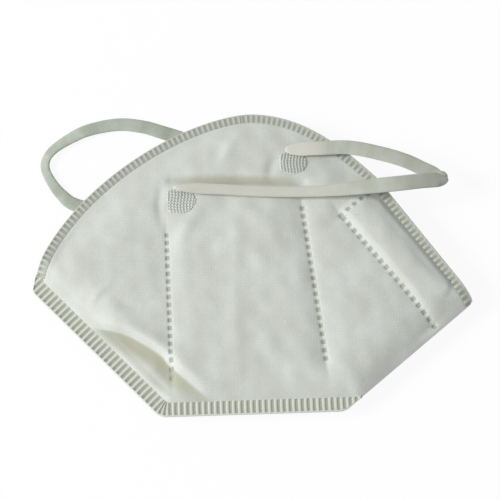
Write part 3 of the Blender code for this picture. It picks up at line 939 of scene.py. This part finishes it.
@dataclass
class FabricHalf:
    """One half of the mask: cover, plies, lining and the welded strip along its open face edge.

    A span holds the values at which a change begins and ends, the longest and the shortest wave, or
    the coarse and the fine step of a mesh.
    """

    side: Side
    pattern: Pattern
    frame: dict
    finishes: Materials
    plane: float
    cover_level: float = 5.55
    cover_thick: float = 0.3
    cover_step: Span = (0.6, 0.36)
    cover_rows: int = 230
    chin_gap: float = 0.3
    seam_level: float = 0.45
    fold_level: float = 0.12
    face_level: float = 3.3
    chin_slope: float = 0.62
    front_slope: float = 0.6
    fold_slope: float = 0.62
    line_ease: float = 2.0
    wedge_ease: float = 0.7
    top_ease: float = 0.8
    lip: float = 0.34
    swell: float = 0.24
    crinkle: float = 0.11
    swell_waves: Span = (45.0, 22.0)
    crinkle_waves: Span = (14.0, 6.0)
    loose_from_seam: Span = (0.0, 7.0)
    loose_from_edge: Span = (2.6, 8.0)
    dots_from_seam: Span = (0.3, 3.5)
    dots_from_edge: Span = (2.6, 6.0)
    # The valley depths over which the painted shade fades in, and its narrower spread on a valley's steep
    # flank.
    hollow_dip: Span = (0.1, 1.7)
    hollow_narrow: float = 0.35
    strip_width: float = 3.4
    strip_top: float = 3.65
    strip_bottom: float = 2.35
    strip_pitch: float = 2.05
    strip_press: float = 0.13
    strip_press_below: float = 0.16
    strip_shift: float = 0.8
    strip_cover: float = 3.2
    bar_steps: int = 8
    lining_level: float = 2.5
    lining_floor: float = 0.06
    lining_slope: float = 0.62
    lining_wave: float = 0.16
    lining_room: float = 1.3
    edge_room: float = 0.55
    lining_thick: float = 0.16
    lining_step: Span = (2.0, 0.9)
    lining_rows: int = 90
    lining_start: float = 0.015
    ply_border: float = 8.0
    ply_foot: float = 10.0
    ply_border_most: float = 0.42
    ply_columns: int = 40
    ply_rows: int = 60
    ply_over_lining: float = 0.22
    ply_under_cover: float = 0.7
    ply_parting: float = 0.4
    cotton_end: float = 0.62
    cotton_top: float = 4.75
    cotton_thick: float = 0.7
    filter_top: float = 3.6
    filter_thick: float = 0.4
    pocket: float = 17.0
    wire_level: float = 5.1
    wire_fall: float = 0.0042
    wire_ease: float = 0.6
    edge_reach: float = 15.0
    pocket_reach: float = 3.7
    pocket_round: float = 1.2
    brow_change: Span = (-12.0, 14.0)
    bend: float = 3.0

    def body(self, panel: str) -> str:
        """The body that carries one of this half's panels."""
        return f"{self.side.label}_{panel}"

    def lift(self, plan: Array, level: Array) -> Array:
        """Plan points at levels from the plane of the seams, with the nose corner eased."""
        eased = self.pattern.nose_round.ease(plan)
        return raised(eased, self.plane + self.side.value * level)

    def columns(self, part: Part, coarse: float, fine: float) -> list[tuple[Panel, Array]]:
        """The shares across the panels of one part of the half.

        Args:
            part: The part of the half.
            coarse: The step away from the creases.
            fine: The step beside a crease.

        Returns:
            Each panel with its columns, without the one that it shares with the panel before.
        """
        pattern = self.pattern
        cheek = graded(pattern.cheek.width, coarse, fine, True, True)
        middle = len(cheek) // 2
        if part is Part.CHIN:
            chin = graded(pattern.chin.width, coarse, fine, False, True)
            chin[0] = self.chin_gap / pattern.chin.width
            return [(pattern.chin, chin), (pattern.cheek, cheek[1 : middle + 1])]
        nose = graded(pattern.nose.width, min(coarse, 1.5 * fine), fine, True, False)
        return [(pattern.cheek, cheek[middle:]), (pattern.nose, nose[1:])]

    def seam_distance(self, plan: Array) -> Array:
        """How far points are from the nearest seam or fold line."""
        chin, front, fold = (run.nearest(plan)[0] for run in self.pattern.hinge_lines)
        return soft_min(soft_min(chin, front, self.line_ease), fold, self.line_ease)

    def wedge(self, plan: Array, top: Array | float) -> Array:
        """The level that rises from the seams and the fold to a top level."""
        low = (self.seam_level, self.seam_level, self.fold_level)
        slope = (self.chin_slope, self.front_slope, self.fold_slope)
        far = [run.nearest(plan)[0] for run in self.pattern.hinge_lines]
        rise = [b + (top - b) * np.tanh(k * d / (top - b)) for b, k, d in zip(low, slope, far)]
        return soft_min(soft_min(rise[0], rise[1], self.wedge_ease), rise[2], self.wedge_ease)

    def pocket_rise(self, plan: Array) -> Array:
        """How far the cover of the wire pocket stands above the rest, past its two lines of dots."""
        long, short = (line.measure(plan)[1] for line in DOT_LINES[2:])
        return POCKET_RISE[self.side] * smooth(-1.0, 3.0, long) * smooth(3.0, -1.0, short)

    def wire_line(self) -> Run:
        """The middle of the nose wire's arm, in plan."""
        wire = self.frame["nodes"][f"{self.side.label}_nose_wire_arm"]
        points = np.array([tuple(wire.matrix_world @ v.co) for v in wire.data.vertices])[:, :2] / MM
        middle = (points.min(axis=0) + points.max(axis=0)) / 2
        way = unit(np.linalg.svd(points - middle, full_matrices=False)[2][0])
        along = (points - middle) @ way
        return Run(np.array([middle + way * along.min(), middle + way * along.max()]))

    def cover_height(self, plan: Array) -> Array:
        """The level of the cover's outer face, creased, dotted and puckered, and raised over the wire."""
        far = self.seam_distance(plan)
        edge, along = self.pattern.face.nearest(plan)
        top = self.cover_level + self.pocket_rise(plan)
        inside = np.maximum(edge - self.strip_cover, 0.0)
        short = smooth(0.0, self.edge_reach, inside)
        long = 1.0 - np.exp(-(np.hypot(inside, self.pocket_round) - self.pocket_round) / self.pocket_reach)
        share = short + (long - short) * smooth(*self.brow_change, along - self.pattern.brow_mark)
        clear = smooth(self.strip_cover - 0.3, self.strip_cover + 0.7, edge)
        low = self.face_level + self.lip * clear
        wedge = np.maximum(self.wedge(plan, top) - 0.5 * (1.0 - clear), 0.05)
        level = soft_min(wedge, low + (top - low) * share, self.top_ease)
        loose = smooth(*self.loose_from_seam, far) * smooth(*self.loose_from_edge, edge)
        sink = sum(line.sink(plan) for line in DOT_LINES) * smooth(*self.dots_from_seam, far)
        sink = sink * smooth(*self.dots_from_edge, edge)
        rise = sum(pucker.rise(plan) for pucker in PUCKERS[self.side])
        seed = RIPPLE_SEED[self.side]
        rise = rise + self.swell * ripple(plan, *self.swell_waves, seed)
        rise = rise + self.crinkle * ripple(plan, *self.crinkle_waves, seed + 1)
        over_wire = self.wire_level - self.wire_fall * self.wire_line().nearest(plan)[0] ** 4
        return -soft_min(sink - level - loose * rise, -over_wire, self.wire_ease)

    def hollows(self, plan: Array) -> Array:
        """The share of warm painted shade that darkens the fabric in its valleys."""
        valleys = [pucker for pucker in PUCKERS[self.side] if pucker.height < 0]
        return smooth(*self.hollow_dip, -sum(valley.rise(plan, self.hollow_narrow) for valley in valleys))

    def weld_marks(self, plan: Array) -> Numbers:
        """The places of points along and across the nearest line of dots, as the finish reads them."""
        measured = [line.measure(plan) for line in DOT_LINES]
        nearest = np.argmin(np.stack([m[0] for m in measured]), axis=0)
        along = np.choose(nearest, [m[2] for m in measured])
        across = np.choose(nearest, [m[1] / (line.dot / 2) for m, line in zip(measured, DOT_LINES)])
        count = np.choose(nearest, [line.dots for line in DOT_LINES])
        off = (along < 0.0) | (along > count)
        return {"weld_along": along, "weld_across": np.where(off, OFF_WELD, across)}

    def hang(self, piece: Piece, part: Part) -> None:
        """Passes a piece to the fold between the cheek and the panel beside it, which bakes its place but
        does not bend it.
        """
        panel = self.pattern.chin if part is Part.CHIN else self.pattern.nose
        toward = panel.at(np.array([0.5]), np.array([0.5]))[0, 0]
        bend_across(piece, self.frame, f"{self.side.label}_{part.value}_fold", toward, self.bend, self.bend)

    def cut(self, piece: Piece, grid: Array) -> None:
        """Takes a sheet and its points, and leaves them as they are."""

    def sheet_plan(self, part: Part, coarse: float, fine: float, up: Array) -> Array:
        """The plan points of one part of a sheet.

        Args:
            part: The part of the half.
            coarse: The step away from the creases.
            fine: The step beside a crease.
            up: The shares from the seam up to the face edge, one for each row.

        Returns:
            The points, as rows of columns.
        """
        return np.concatenate([p.at(shares, up) for p, shares in self.columns(part, coarse, fine)], axis=1)

    def dress(self, piece: Piece, part: Part, layer: str, grid: Array) -> Piece:
        """Gives one part of a sheet its finish, bakes its place and hides the solids that it stands for.

        Args:
            piece: The sheet.
            part: The part of the half.
            layer: The layer, which is the finish and the slot and ends the names of the solids.
            grid: The sheet's points.

        Returns:
            The sheet.
        """
        piece.data.materials.append(self.finishes[layer])
        self.hang(piece, part)
        panels = (part.value, "cheek") if part is Part.NOSE else (part.value,)
        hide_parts(*(f"{self.body(panel)}_{layer}" for panel in panels))
        self.cut(piece, grid)
        return piece

    def build_cover(self, part: Part) -> Piece:
        """One part of the outer cover."""
        plan = self.sheet_plan(part, *self.cover_step, np.linspace(0.0, 1.0, self.cover_rows))
        grid = self.lift(plan, self.cover_height(plan))
        name = f"{self.side.label}_{part.value}_side_cover"
        # The cover keeps the share of painted shade in its valleys at its points.
        numbers = {**self.weld_marks(plan), "hollow": self.hollows(plan)}
        piece = grid_piece(name, grid, plan, numbers, self.side is Side.LEFT, self.cover_thick)
        return self.dress(piece, part, "outer_cover", grid)

    def lining_height(self, plan: Array) -> Array:
        """The level of the lining's inner face, which stays well under the cover."""
        far = self.seam_distance(plan)
        edge, _ = self.pattern.face.nearest(plan)
        top, floor = self.lining_level, self.lining_floor
        level = floor + top * np.tanh(self.lining_slope * np.maximum(far, 0.0) / top)
        wave = self.lining_wave * ripple(plan, 40.0, 16.0, 37 + self.side.value)
        level = level + wave * smooth(1.0, 8.0, far) * smooth(2.0, 8.0, edge)
        room = self.lining_room - (self.lining_room - self.edge_room) * smooth(4.0, 1.0, edge)
        return np.clip(level, floor, np.maximum(self.cover_height(plan) - room, floor))

    def build_lining(self, part: Part) -> Piece:
        """One part of the inner lining, which faces the inside of the mask."""
        up = np.linspace(self.lining_start, 1.0, self.lining_rows)
        plan = self.sheet_plan(part, *self.lining_step, up)
        grid = self.lift(plan, self.lining_height(plan))
        name = f"{self.side.label}_{part.value}_side_lining"
        piece = grid_piece(name, grid, plan, plain_numbers(plan), self.side is Side.RIGHT, self.lining_thick)
        return self.dress(piece, part, "inner_lining", grid)

    def pocket_share(self, across: Array) -> Array:
        """The share of the nose panel's height at which the wire pocket begins."""
        pattern = self.pattern
        out = left_of(unit(pattern.nose_corner - np.array(pattern.size.brow)))
        depth = (np.array(pattern.size.brow) - pattern.nose.at(across, np.array([0.0, 1.0]))) @ out
        return (depth[0] - self.pocket) / (depth[0] - depth[1])

    def build_ply(self, panel: Panel, kind: Ply) -> Piece:
        """One hidden ply of one panel, inside its welded borders and between the lining and the cover.

        Args:
            panel: The panel.
            kind: The ply's kind.

        Returns:
            The object.
        """
        border = self.ply_border / panel.width
        nose_cotton = panel.name == "nose" and kind is Ply.COTTON
        across = np.linspace(border, self.cotton_end if nose_cotton else 1.0 - border, self.ply_columns)
        height = panel.height(across)
        low = np.minimum(self.ply_foot / height, self.ply_border_most)
        high = 1.0 - np.minimum(self.ply_border / height, self.ply_border_most)
        if nose_cotton:
            high = np.maximum(np.minimum(high, self.pocket_share(across)), low + 0.04)
        plan = panel.at(across, low + (high - low) * np.linspace(0.0, 1.0, self.ply_rows)[:, None])
        floor = self.lining_height(plan) + self.ply_over_lining
        roof = self.cover_height(plan) - self.ply_under_cover
        middle = floor + self.ply_parting * np.maximum(roof - floor, 0.2)
        if kind is Ply.COTTON:
            top = np.maximum(np.minimum(self.cotton_top, roof), middle + 0.1)
            bottom = np.maximum(top - self.cotton_thick, middle + 0.02)
        else:
            top = np.minimum(self.filter_top, middle)
            bottom = np.maximum(top - self.filter_thick, floor)
        upper, flat = self.lift(plan, top), around(plan, plan)
        name = f"{self.side.label}_{panel.name}_{kind.name.lower()}_ply"
        piece = tube_piece(name, around(upper, self.lift(plan, bottom)), flat, plain_numbers(flat))
        piece.data.materials.append(self.finishes[kind.value])
        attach(piece, self.body(panel.name))
        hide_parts(f"{self.body(panel.name)}_{kind.value}")
        self.cut(piece, upper)
        return piece

    def build_strip(self, part: Part) -> Piece:
        """One part of the welded strip along the open face edge, with its light bars."""
        pattern, width = self.pattern, self.strip_width
        start = pattern.chin_end_mark - self.side.value * self.strip_shift
        stops = (start, pattern.middle_mark, pattern.face.length)
        first, last = stops[:2] if part is Part.CHIN else stops[1:]
        marks = np.linspace(first, last, round((last - first) / self.strip_pitch * self.bar_steps) + 1)
        edge, inward = pattern.face.at(marks), -left_of(pattern.face.ways(marks))
        across = np.array([0.06, 0.2, 0.36, 0.44, 1.8, width, width + 0.1, width + 0.3, width + 0.5])
        rim = np.array([0.34, 0.10, 0.0, 0.0, 0.0, 0.0, 0.10, 0.30, 0.50])
        turn = (marks - first) / self.strip_pitch
        press = bars(turn)[:, None] * ((across > 0.4) & (across < width + 0.05))
        plan = edge[:, None] + inward[:, None] * across[None, :, None]
        top = np.minimum(self.wedge(plan, self.cover_level) + 0.1, self.strip_top)
        bottom = np.maximum(top - (self.strip_top - self.strip_bottom), 0.04)
        upper = self.lift(plan, np.maximum(top - rim - self.strip_press * press, bottom + 0.1))
        under = np.minimum(rim, 0.3 * (top - bottom)) + self.strip_press_below * press
        spread = np.concatenate([across, across[::-1]])
        flat = pairs(marks, spread)
        numbers = weld_numbers(turn, (spread - 0.4 - width / 2) / (width / 2 - 0.2))
        name = f"{self.side.label}_{part.value}_side_edge_weld"
        piece = tube_piece(name, around(upper, self.lift(plan, bottom + under)), flat, numbers)
        piece.data.materials.append(self.finishes["edge_weld"])
        self.hang(piece, part)
        return piece

    def build(self) -> list[Piece]:
        """Every piece of the half."""
        pieces = []
        for part in Part:
            pieces += [self.build_cover(part), self.build_lining(part), self.build_strip(part)]
        for panel in self.pattern.panels:
            pieces += [self.build_ply(panel, kind) for kind in Ply]
        return pieces


@dataclass
class WeldFlange:
    """The fused flange of both halves along the chin seam and the front seam, with heavy bars."""

    pattern: Pattern
    frame: dict
    finishes: Materials
    plane: float
    pitch: float = 2.12
    bar_steps: int = 8
    half_thick: float = 0.5
    pressed: float = 0.24
    tuck: float = 0.6
    corner_radius: float = 6.5
    end_round: float = 1.6
    bend: float = 2.0
    width_change: float = 3.0
    arc_steps: int = 24

    def outer_run(self) -> tuple[Run, float, float]:
        """The flange's outer edge with its corner rounded, and the marks of the corners at its two ends."""
        pattern = self.pattern
        past_chin = min(0.0, (pattern.chin_end - pattern.chin_corner) @ pattern.chin_way)
        past_front = (pattern.nose_vertex - pattern.seam_corner) @ pattern.front_way
        start = pattern.chin_corner + pattern.chin_way * past_chin
        end = pattern.seam_corner + pattern.front_way * past_front
        turn = math.acos(float(pattern.chin_way @ pattern.front_way))
        reach = self.corner_radius * math.tan(turn / 2)
        first = pattern.seam_corner - pattern.chin_way * reach
        centre = first + left_of(pattern.chin_way) * self.corner_radius
        angle = math.atan2(*(first - centre)[::-1])
        angles = angle + np.linspace(0.0, turn, self.arc_steps)
        arc = centre + self.corner_radius * np.stack([np.cos(angles), np.sin(angles)], axis=1)
        run = Run(np.vstack([start, arc, end]))
        chin_mark = float((pattern.chin_corner - start) @ pattern.chin_way)
        return run, chin_mark, run.length - float((end - pattern.front_tip) @ pattern.front_way)

    def build(self) -> list[Piece]:
        """The flange along the chin seam and the front seam."""
        pattern, size = self.pattern, self.pattern.size
        run, chin_mark, tip_mark = self.outer_run()
        marks = np.linspace(0.0, run.length, round(run.length / self.pitch * self.bar_steps) + 1)
        edge, inward = run.at(marks), left_of(run.ways(marks))
        corner = run.nearest(pattern.seam_corner[None])[1][0]
        change = smooth(corner - self.width_change, corner + self.width_change, marks)
        width = size.chin_width + (size.front_width - size.chin_width) * change
        chin_cut = (chin_mark - marks) * width / max(chin_mark, 1e-6)
        tip_cut = (marks - tip_mark) * width / (run.length - tip_mark)
        cut = -soft_min(-np.maximum(chin_cut, tip_cut), np.zeros_like(marks), self.end_round)
        inset = np.minimum(np.maximum(cut, 0.0), width - 0.4)
        shares = np.array([0.0, 0.03, 0.08, 0.12, 0.4, 0.7, 0.93, 0.97, 1.0])
        rim = np.array([0.26, 0.08, 0.0, 0.0, 0.0, 0.0, 0.0, 0.0, 0.1])
        across = inset[:, None] + (width - inset)[:, None] * shares + self.tuck * shares**6
        plan = edge[:, None] + inward[:, None] * across[..., None]
        turn = marks / self.pitch
        press = bars(turn)[:, None] * ((shares > 0.1) & (shares < 0.95))
        level = self.half_thick - rim - (self.half_thick - self.pressed) * press
        faces = [raised(plan, self.plane + k * level) for k in (1, -1)]
        spread = np.concatenate([shares, shares[::-1]])
        flat = pairs(marks, spread * size.front_width)
        numbers = weld_numbers(turn, (spread - 0.54) / 0.44)
        piece = tube_piece("seam_flange", around(*faces), flat, numbers)
        piece.data.materials.append(self.finishes["weld_seam"])
        bend_across(piece, self.frame, "left_chin_fold", pattern.chin_end, self.bend, self.bend)
        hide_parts("front_weld_seam", "chin_weld_seam")
        return [piece]


@dataclass
class LoopPatch:
    """A knurled patch that welds one end of an ear loop to the cheek's cover."""

    half: FabricHalf
    end: str
    shift: Point
    grow: Point
    dot: float
    pitch: float = 1.15
    rise: float = 0.32
    knurl: float = 0.26
    wobble: float = 0.05
    thick: float = 0.3
    columns: int = 81
    rows: int = 67
    roundness: float = 0.42
    bow: float = 0.22
    sunk: float = 0.12
    stud_edge: Span = (0.3, 0.75)
    border_edge: Span = (1.0, 0.84)

    def build(self) -> list[Piece]:
        """The patch, standing on the cover where its solid is."""
        side = self.half.side
        node = f"{side.label}_loop_{self.end}_side_patch"
        low, high = (np.array(corner)[:2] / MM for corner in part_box(node))
        centre, reach = (low + high) / 2 + self.shift, (high - low) / 2 + self.grow
        a, b = np.meshgrid(np.linspace(-1, 1, self.columns), np.linspace(-1, 1, self.rows))
        turn = np.arctan2(b, a)
        wave = 1.0 + self.wobble * (np.sin(3 * turn + 0.8) + 0.7 * np.sin(5 * turn + 2.0))
        k = self.roundness
        round_in = np.stack([a * np.sqrt(1 - k * b**2), b * np.sqrt(1 - k * a**2)], axis=-1)
        plan = centre + reach * round_in * wave[..., None]
        bent = plan + self.bow * np.sin(plan[..., ::-1] * (0.75, 0.9) + 0.4)
        place = bent / self.pitch
        phase = off_middle(place) * 2
        stud = smooth(*self.stud_edge, phase[..., 0]) * smooth(*self.stud_edge, phase[..., 1])
        border = smooth(*self.border_edge, np.maximum(np.abs(a), np.abs(b)))
        level = self.half.cover_height(plan) - self.sunk + border * (self.rise + self.knurl * stud)
        grid = self.half.lift(plan, level)
        across = phase[..., 1] / self.dot + 1.2 * (1.0 - border)
        numbers = {"weld_along": place[..., 0], "weld_across": across}
        piece = grid_piece(f"{node}_knurl", grid, plan, numbers, side is Side.LEFT, self.thick)
        piece.data.materials.append(self.half.finishes["loop_patch"])
        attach(piece, self.half.body("cheek"))
        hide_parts(node)
        return [piece]


@dataclass
class EarLoop:
    """A flat knitted elastic band along a route."""

    frame: dict
    finishes: Materials
    width: float = 5.6
    thick: float = 1.2
    end_round: float = 2.4
    sides: int = 20
    fullness: float = 2.6
    stations: int = 12

    def band(self, name: str, path: Array, wide: Array, share: Array, bow: Array, worn: Array) -> Piece:
        """The band's mesh, with rounded edges and ends.

        Args:
            name: The piece's name.
            path: The middle of the band, in millimetres.
            wide: The direction across the band at each station.
            share: The share of its full width that it has there.
            bow: How far its two edges are drawn aside from its middle there.
            worn: The share of painted light there, drawn as paler knit.

        Returns:
            The object.
        """
        run = Run(path)
        way = unit(np.gradient(path, axis=0))
        wide = unit(wide - (wide * way).sum(axis=1, keepdims=True) * way)
        thin = np.cross(way, wide)
        turn = np.arange(self.sides) / self.sides * 2 * math.pi + math.pi / self.sides
        cos, sin = np.cos(turn), np.sin(turn)
        x = np.sign(cos) * np.abs(cos) ** (2 / self.fullness) * self.width / 2
        y = np.sign(sin) * np.abs(sin) ** (2 / self.fullness) * self.thick / 2
        near = np.minimum(run.marks, run.length - run.marks)
        close = np.clip(1.0 - near / self.end_round, 0.0, 0.97)
        taper = np.sqrt(1.0 - close**2)
        rings = (
            path[:, None]
            + wide[:, None] * (x[None] * (taper * share)[:, None])[..., None]
            + thin[:, None] * (y[None] * np.sqrt(taper)[:, None])[..., None]
            + bow[:, None] * ((2 * x / self.width) ** 2)[None, :, None]
        )
        girth = np.concatenate([[0.0], np.cumsum(np.hypot(np.diff(x), np.diff(y)))])
        flat = pairs(run.marks, girth)
        # The band keeps its share of painted light at its points.
        piece = tube_piece(name, rings, flat, {"worn": np.repeat(worn[:, None], self.sides, axis=1)})
        piece.data.materials.append(self.finishes["elastic_band"])
        return piece

    def declare(self, piece: Piece, path: Array) -> None:
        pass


@dataclass
class RightEarLoop(EarLoop):
    """The loop that lies over the mask: out from the nose patch and back over itself to the chin patch.

    A span holds the places along X at which a change begins and ends, or a reach before and after a joint's
    axis that is not used.
    """

    route: tuple[Place, ...] = (
        (12.0, 40.4, -0.9), (15.5, 40.4, -0.7), (25.0, 40.6, -0.1), (36.1, 40.7, 0.2), (47.8, 38.4, -0.2),
        (56.5, 35.9, -1.0), (63.0, 33.1, -2.0), (68.6, 30.6, -2.4), (71.1, 29.2, -1.3), (68.8, 28.1, 0.0),
        (62.0, 26.6, 2.4), (52.0, 24.6, 4.5), (42.0, 23.6, 4.2), (30.0, 22.9, 2.4), (18.0, 22.7, 1.4),
        (2.0, 23.0, 1.2), (-12.0, 23.8, 1.1), (-25.0, 24.4, 0.9), (-29.0, 24.8, 0.4),
    )
    narrow_end: float = 0.72
    strand_tilt: float = 14.0
    tip_round: float = 2.2
    tip_reach: float = 3.5
    # Painted light on the band: its least share everywhere, and its share on the lower strand.
    least_worn: float = 0.3
    back_worn: float = 0.8
    back_wider: float = 0.05
    flat_span: Span = (50.0, 20.0)
    tilt_span: Span = (-28.0, -18.0)
    # Where the painted light fades along X on the upper strand.
    worn_span: Span = (34.0, 18.0)
    chin_taper: Span = (-29.5, -19.0)
    nose_taper: Span = (11.0, 19.0)
    swing_toward: Point = (50.0, 25.0)
    swing_bend: Span = (1.0, 2.5)

    def build(self) -> list[Piece]:
        """The loop along its route."""
        _, place = hinge(self.frame, "right_ear_loop_swing")
        path = smooth_route(np.array(self.route), self.stations) + (0.0, 0.0, place[2])
        tip = int(np.argmax(path[:, 0]))
        way = np.gradient(path[:, :2], axis=0)
        way[tip:] *= -1
        padded = np.pad(way, ((3, 3), (0, 0)), mode="edge")
        way = unit(np.stack([np.convolve(w, np.ones(7) / 7, "valid") for w in padded.T], axis=1))
        back = np.arange(len(path)) > tip
        flat = smooth(*self.flat_span, path[:, 0]) * back
        tilt = np.radians(self.strand_tilt) * flat * smooth(*self.tilt_span, path[:, 0])
        wide = raised(left_of(way) * np.cos(tilt)[:, None], np.sin(tilt))
        share = 1.0 + self.back_wider * back + (self.narrow_end - (1.0 + self.back_wider)) * flat
        start = np.where(back, smooth(*self.chin_taper, path[:, 0]), smooth(*self.nose_taper, path[:, 0]))
        share = share * (0.55 + 0.45 * start)
        marks = Run(path).marks
        near_tip = np.exp(-(((marks - marks[tip]) / self.tip_reach) ** 2))
        bow = near_tip[:, None] * (-self.tip_round, 0.0, 0.0)
        # Painted light: paler along the lower strand away from the tip and at the start of the upper strand.
        painted_light_share = np.where(back, self.back_worn * flat, smooth(*self.worn_span, path[:, 0]))
        painted_light_share = np.maximum(painted_light_share, self.least_worn)
        piece = self.band("right_ear_loop_band", path, wide, share, bow, painted_light_share)
        bend_across(piece, self.frame, "right_ear_loop_swing", np.array(self.swing_toward), *self.swing_bend)
        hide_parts("right_ear_loop")
        self.declare(piece, path)
        return [piece]


@dataclass
class LeftEarLoop(EarLoop):
    """The loop that comes out from under the mask, with the two stretches that lie under the mask."""

    route: tuple[Place, ...] = (
        (9.4, 32.8, 0.0), (-2.0, 38.0, 0.0), (-13.0, 45.0, 0.0), (-27.5, 50.2, 0.0), (-33.8, 52.3, 5.0),
        (-41.4, 54.6, 8.0), (-50.8, 55.5, 10.0), (-61.8, 53.2, 12.0), (-68.9, 49.5, 15.0),
        (-74.5, 45.3, 18.0), (-77.3, 41.2, 20.0), (-77.5, 37.0, 18.0), (-75.0, 31.9, 13.0),
        (-71.2, 27.0, 6.0), (-65.8, 23.0, 0.0), (-52.0, 19.2, 0.0), (-42.0, 18.2, 0.0), (-31.2, 18.2, 0.0),
    )
    tip: Point = (-75.5, 36.5)
    tip_narrow: float = 0.38
    tip_reach: float = 13.0
    lift_toward: Point = (-77.0, 45.0)
    lift_bend: Span = (1.5, 1.5)

    def build(self) -> list[Piece]:
        """The loop, tilted outwards by its route's third number."""
        _, place = hinge(self.frame, "left_ear_loop_lift")
        places = smooth_route(np.array(self.route), self.stations)
        plan, tilt = places[:, :2], np.radians(np.maximum(places[:, 2], 0.0))
        tall = np.sin(tilt) * self.width + np.cos(tilt) * self.thick
        path = raised(plan, np.maximum(place[2], tall / 2))
        side = left_of(unit(np.gradient(plan, axis=0)))
        wide = raised(side * np.cos(tilt)[:, None], np.sin(tilt))
        share = 1.0 - self.tip_narrow * np.exp(-(((plan - self.tip) ** 2).sum(axis=1)) / self.tip_reach**2)
        none = np.zeros((len(path), 3))
        piece = self.band("left_ear_loop_band", path, wide, share, none, none[:, 0])
        bend_across(piece, self.frame, "left_ear_loop_lift", np.array(self.lift_toward), *self.lift_bend)
        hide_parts("left_ear_loop", "left_loop_crown_stretch", "left_loop_chin_stretch")
        self.declare(piece, path)
        return [piece]


@dataclass
class NoseWires:
    """The two arms of the nose wire, kept as their solids in the pocket and given their metal."""

    frame: dict
    finishes: Materials

    def build(self) -> list[Piece]:
        """The dressed wire arms."""
        wires = [self.frame["nodes"][f"{side.label}_nose_wire_arm"] for side in Side]
        for wire in wires:
            wire.data.materials.clear()
            wire.data.materials.append(self.finishes["nose_wire"])
        return wires


@dataclass
class Studio:
    """Camera, soft lights, pale floor and white surround."""

    aim: Place = (-0.9, 2.48, 8.0)
    elevation: float = 70.0
    distance: float = 600.0
    focal: float = 1650.0
    frame_pixels: float = 500.0
    sensor: float = 36.0
    ambient: float = 0.45
    floor_reach: float = 2.0
    floor_glow: float = 0.92
    key_place: Place = (-1.72, -0.25, 1.28)
    key_size: float = 0.7
    key_power: float = 48.5

    def build_camera(self) -> None:
        """The camera at the photograph's angle."""
        data = bpy.data.cameras.new("camera")
        data.sensor_width = self.sensor
        data.lens = self.focal / self.frame_pixels * self.sensor
        data.clip_start = 0.01
        camera = new_object("camera", data)
        rise = math.radians(self.elevation)
        away = Vector((0.0, -math.cos(rise), math.sin(rise)))
        camera.location = (Vector(self.aim) + away * self.distance) * MM
        camera.rotation_euler = (-away).to_track_quat("-Z", "Y").to_euler()
        bpy.context.scene.camera = camera

    def build_key(self) -> None:
        """A square soft lamp that looks at the mask, placed in metres."""
        data = bpy.data.lights.new("key", "AREA")
        data.size = self.key_size
        data.energy = self.key_power
        light = new_object("key", data)
        light.location = self.key_place
        light.rotation_euler = (-Vector(self.key_place)).to_track_quat("-Z", "Y").to_euler()

    def build_surround(self) -> None:
        """The world, even and soft on the mask and white to the camera."""
        world = bpy.data.worlds.new("surround")
        bpy.context.scene.world = world
        recipe = Recipe(world)
        recipe.fill(recipe.shader, {"Color": WHITE, "Strength": self.ambient})
        plain = recipe.add("Background", {"Color": WHITE})
        recipe.end(recipe.seen(), recipe.shader.outputs["Background"], plain.outputs["Background"])

    def build_floor(self) -> None:
        """A pale floor under the mask that keeps its shadow."""
        mesh = bpy.data.meshes.new("floor")
        reach = self.floor_reach
        corners = [(x * reach, y * reach, 0.0) for x, y in ((-1, -1), (1, -1), (1, 1), (-1, 1))]
        mesh.from_pydata(corners, [], [(0, 1, 2, 3)])
        recipe = Recipe(bpy.data.materials.new("floor"))
        recipe.fill(recipe.shader, {"Base Color": (0.86, 0.86, 0.86, 1.0), "Roughness": 0.9})
        glow = recipe.add("Emission", {"Color": WHITE})
        share = recipe.math("MULTIPLY", recipe.seen(), self.floor_glow)
        recipe.end(share, recipe.shader.outputs["BSDF"], glow.outputs["Emission"])
        mesh.materials.append(recipe.owner)
        new_object("floor", mesh)

    def build(self) -> None:
        """The whole studio."""
        bpy.context.scene.view_settings.view_transform = "Standard"
        self.build_camera()
        self.build_surround()
        self.build_floor()
        self.build_key()


def main() -> None:
    """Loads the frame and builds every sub-assembly."""
    logging.basicConfig(level=logging.INFO, format="%(name)s: %(message)s")
    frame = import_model()
    Studio().build()
    pattern = Pattern(Outline())
    finishes = {finish.name: finish.material() for finish in FINISHES}
    plane = float(sum(corner[2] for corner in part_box("front_weld_seam"))) / 2 / MM
    halves = [FabricHalf(side, pattern, frame, finishes, plane) for side in Side]
    assemblies = [RightEarLoop(frame, finishes), LeftEarLoop(frame, finishes), *halves]
    assemblies.append(WeldFlange(pattern, frame, finishes, plane))
    for half in halves:
        assemblies.append(LoopPatch(half, "chin", (-0.8, 1.8), (0.2, 2.0), 0.62))
        assemblies.append(LoopPatch(half, "nose", (-0.2, 2.4), (0.0, 1.3), 0.85))
    assemblies.append(NoseWires(frame, finishes))
    for assembly in assemblies:
        for piece in assembly.build():
            LOG.info("%s: %d vertices", piece.name, len(piece.data.vertices))


if __name__ == "__main__":
    main()
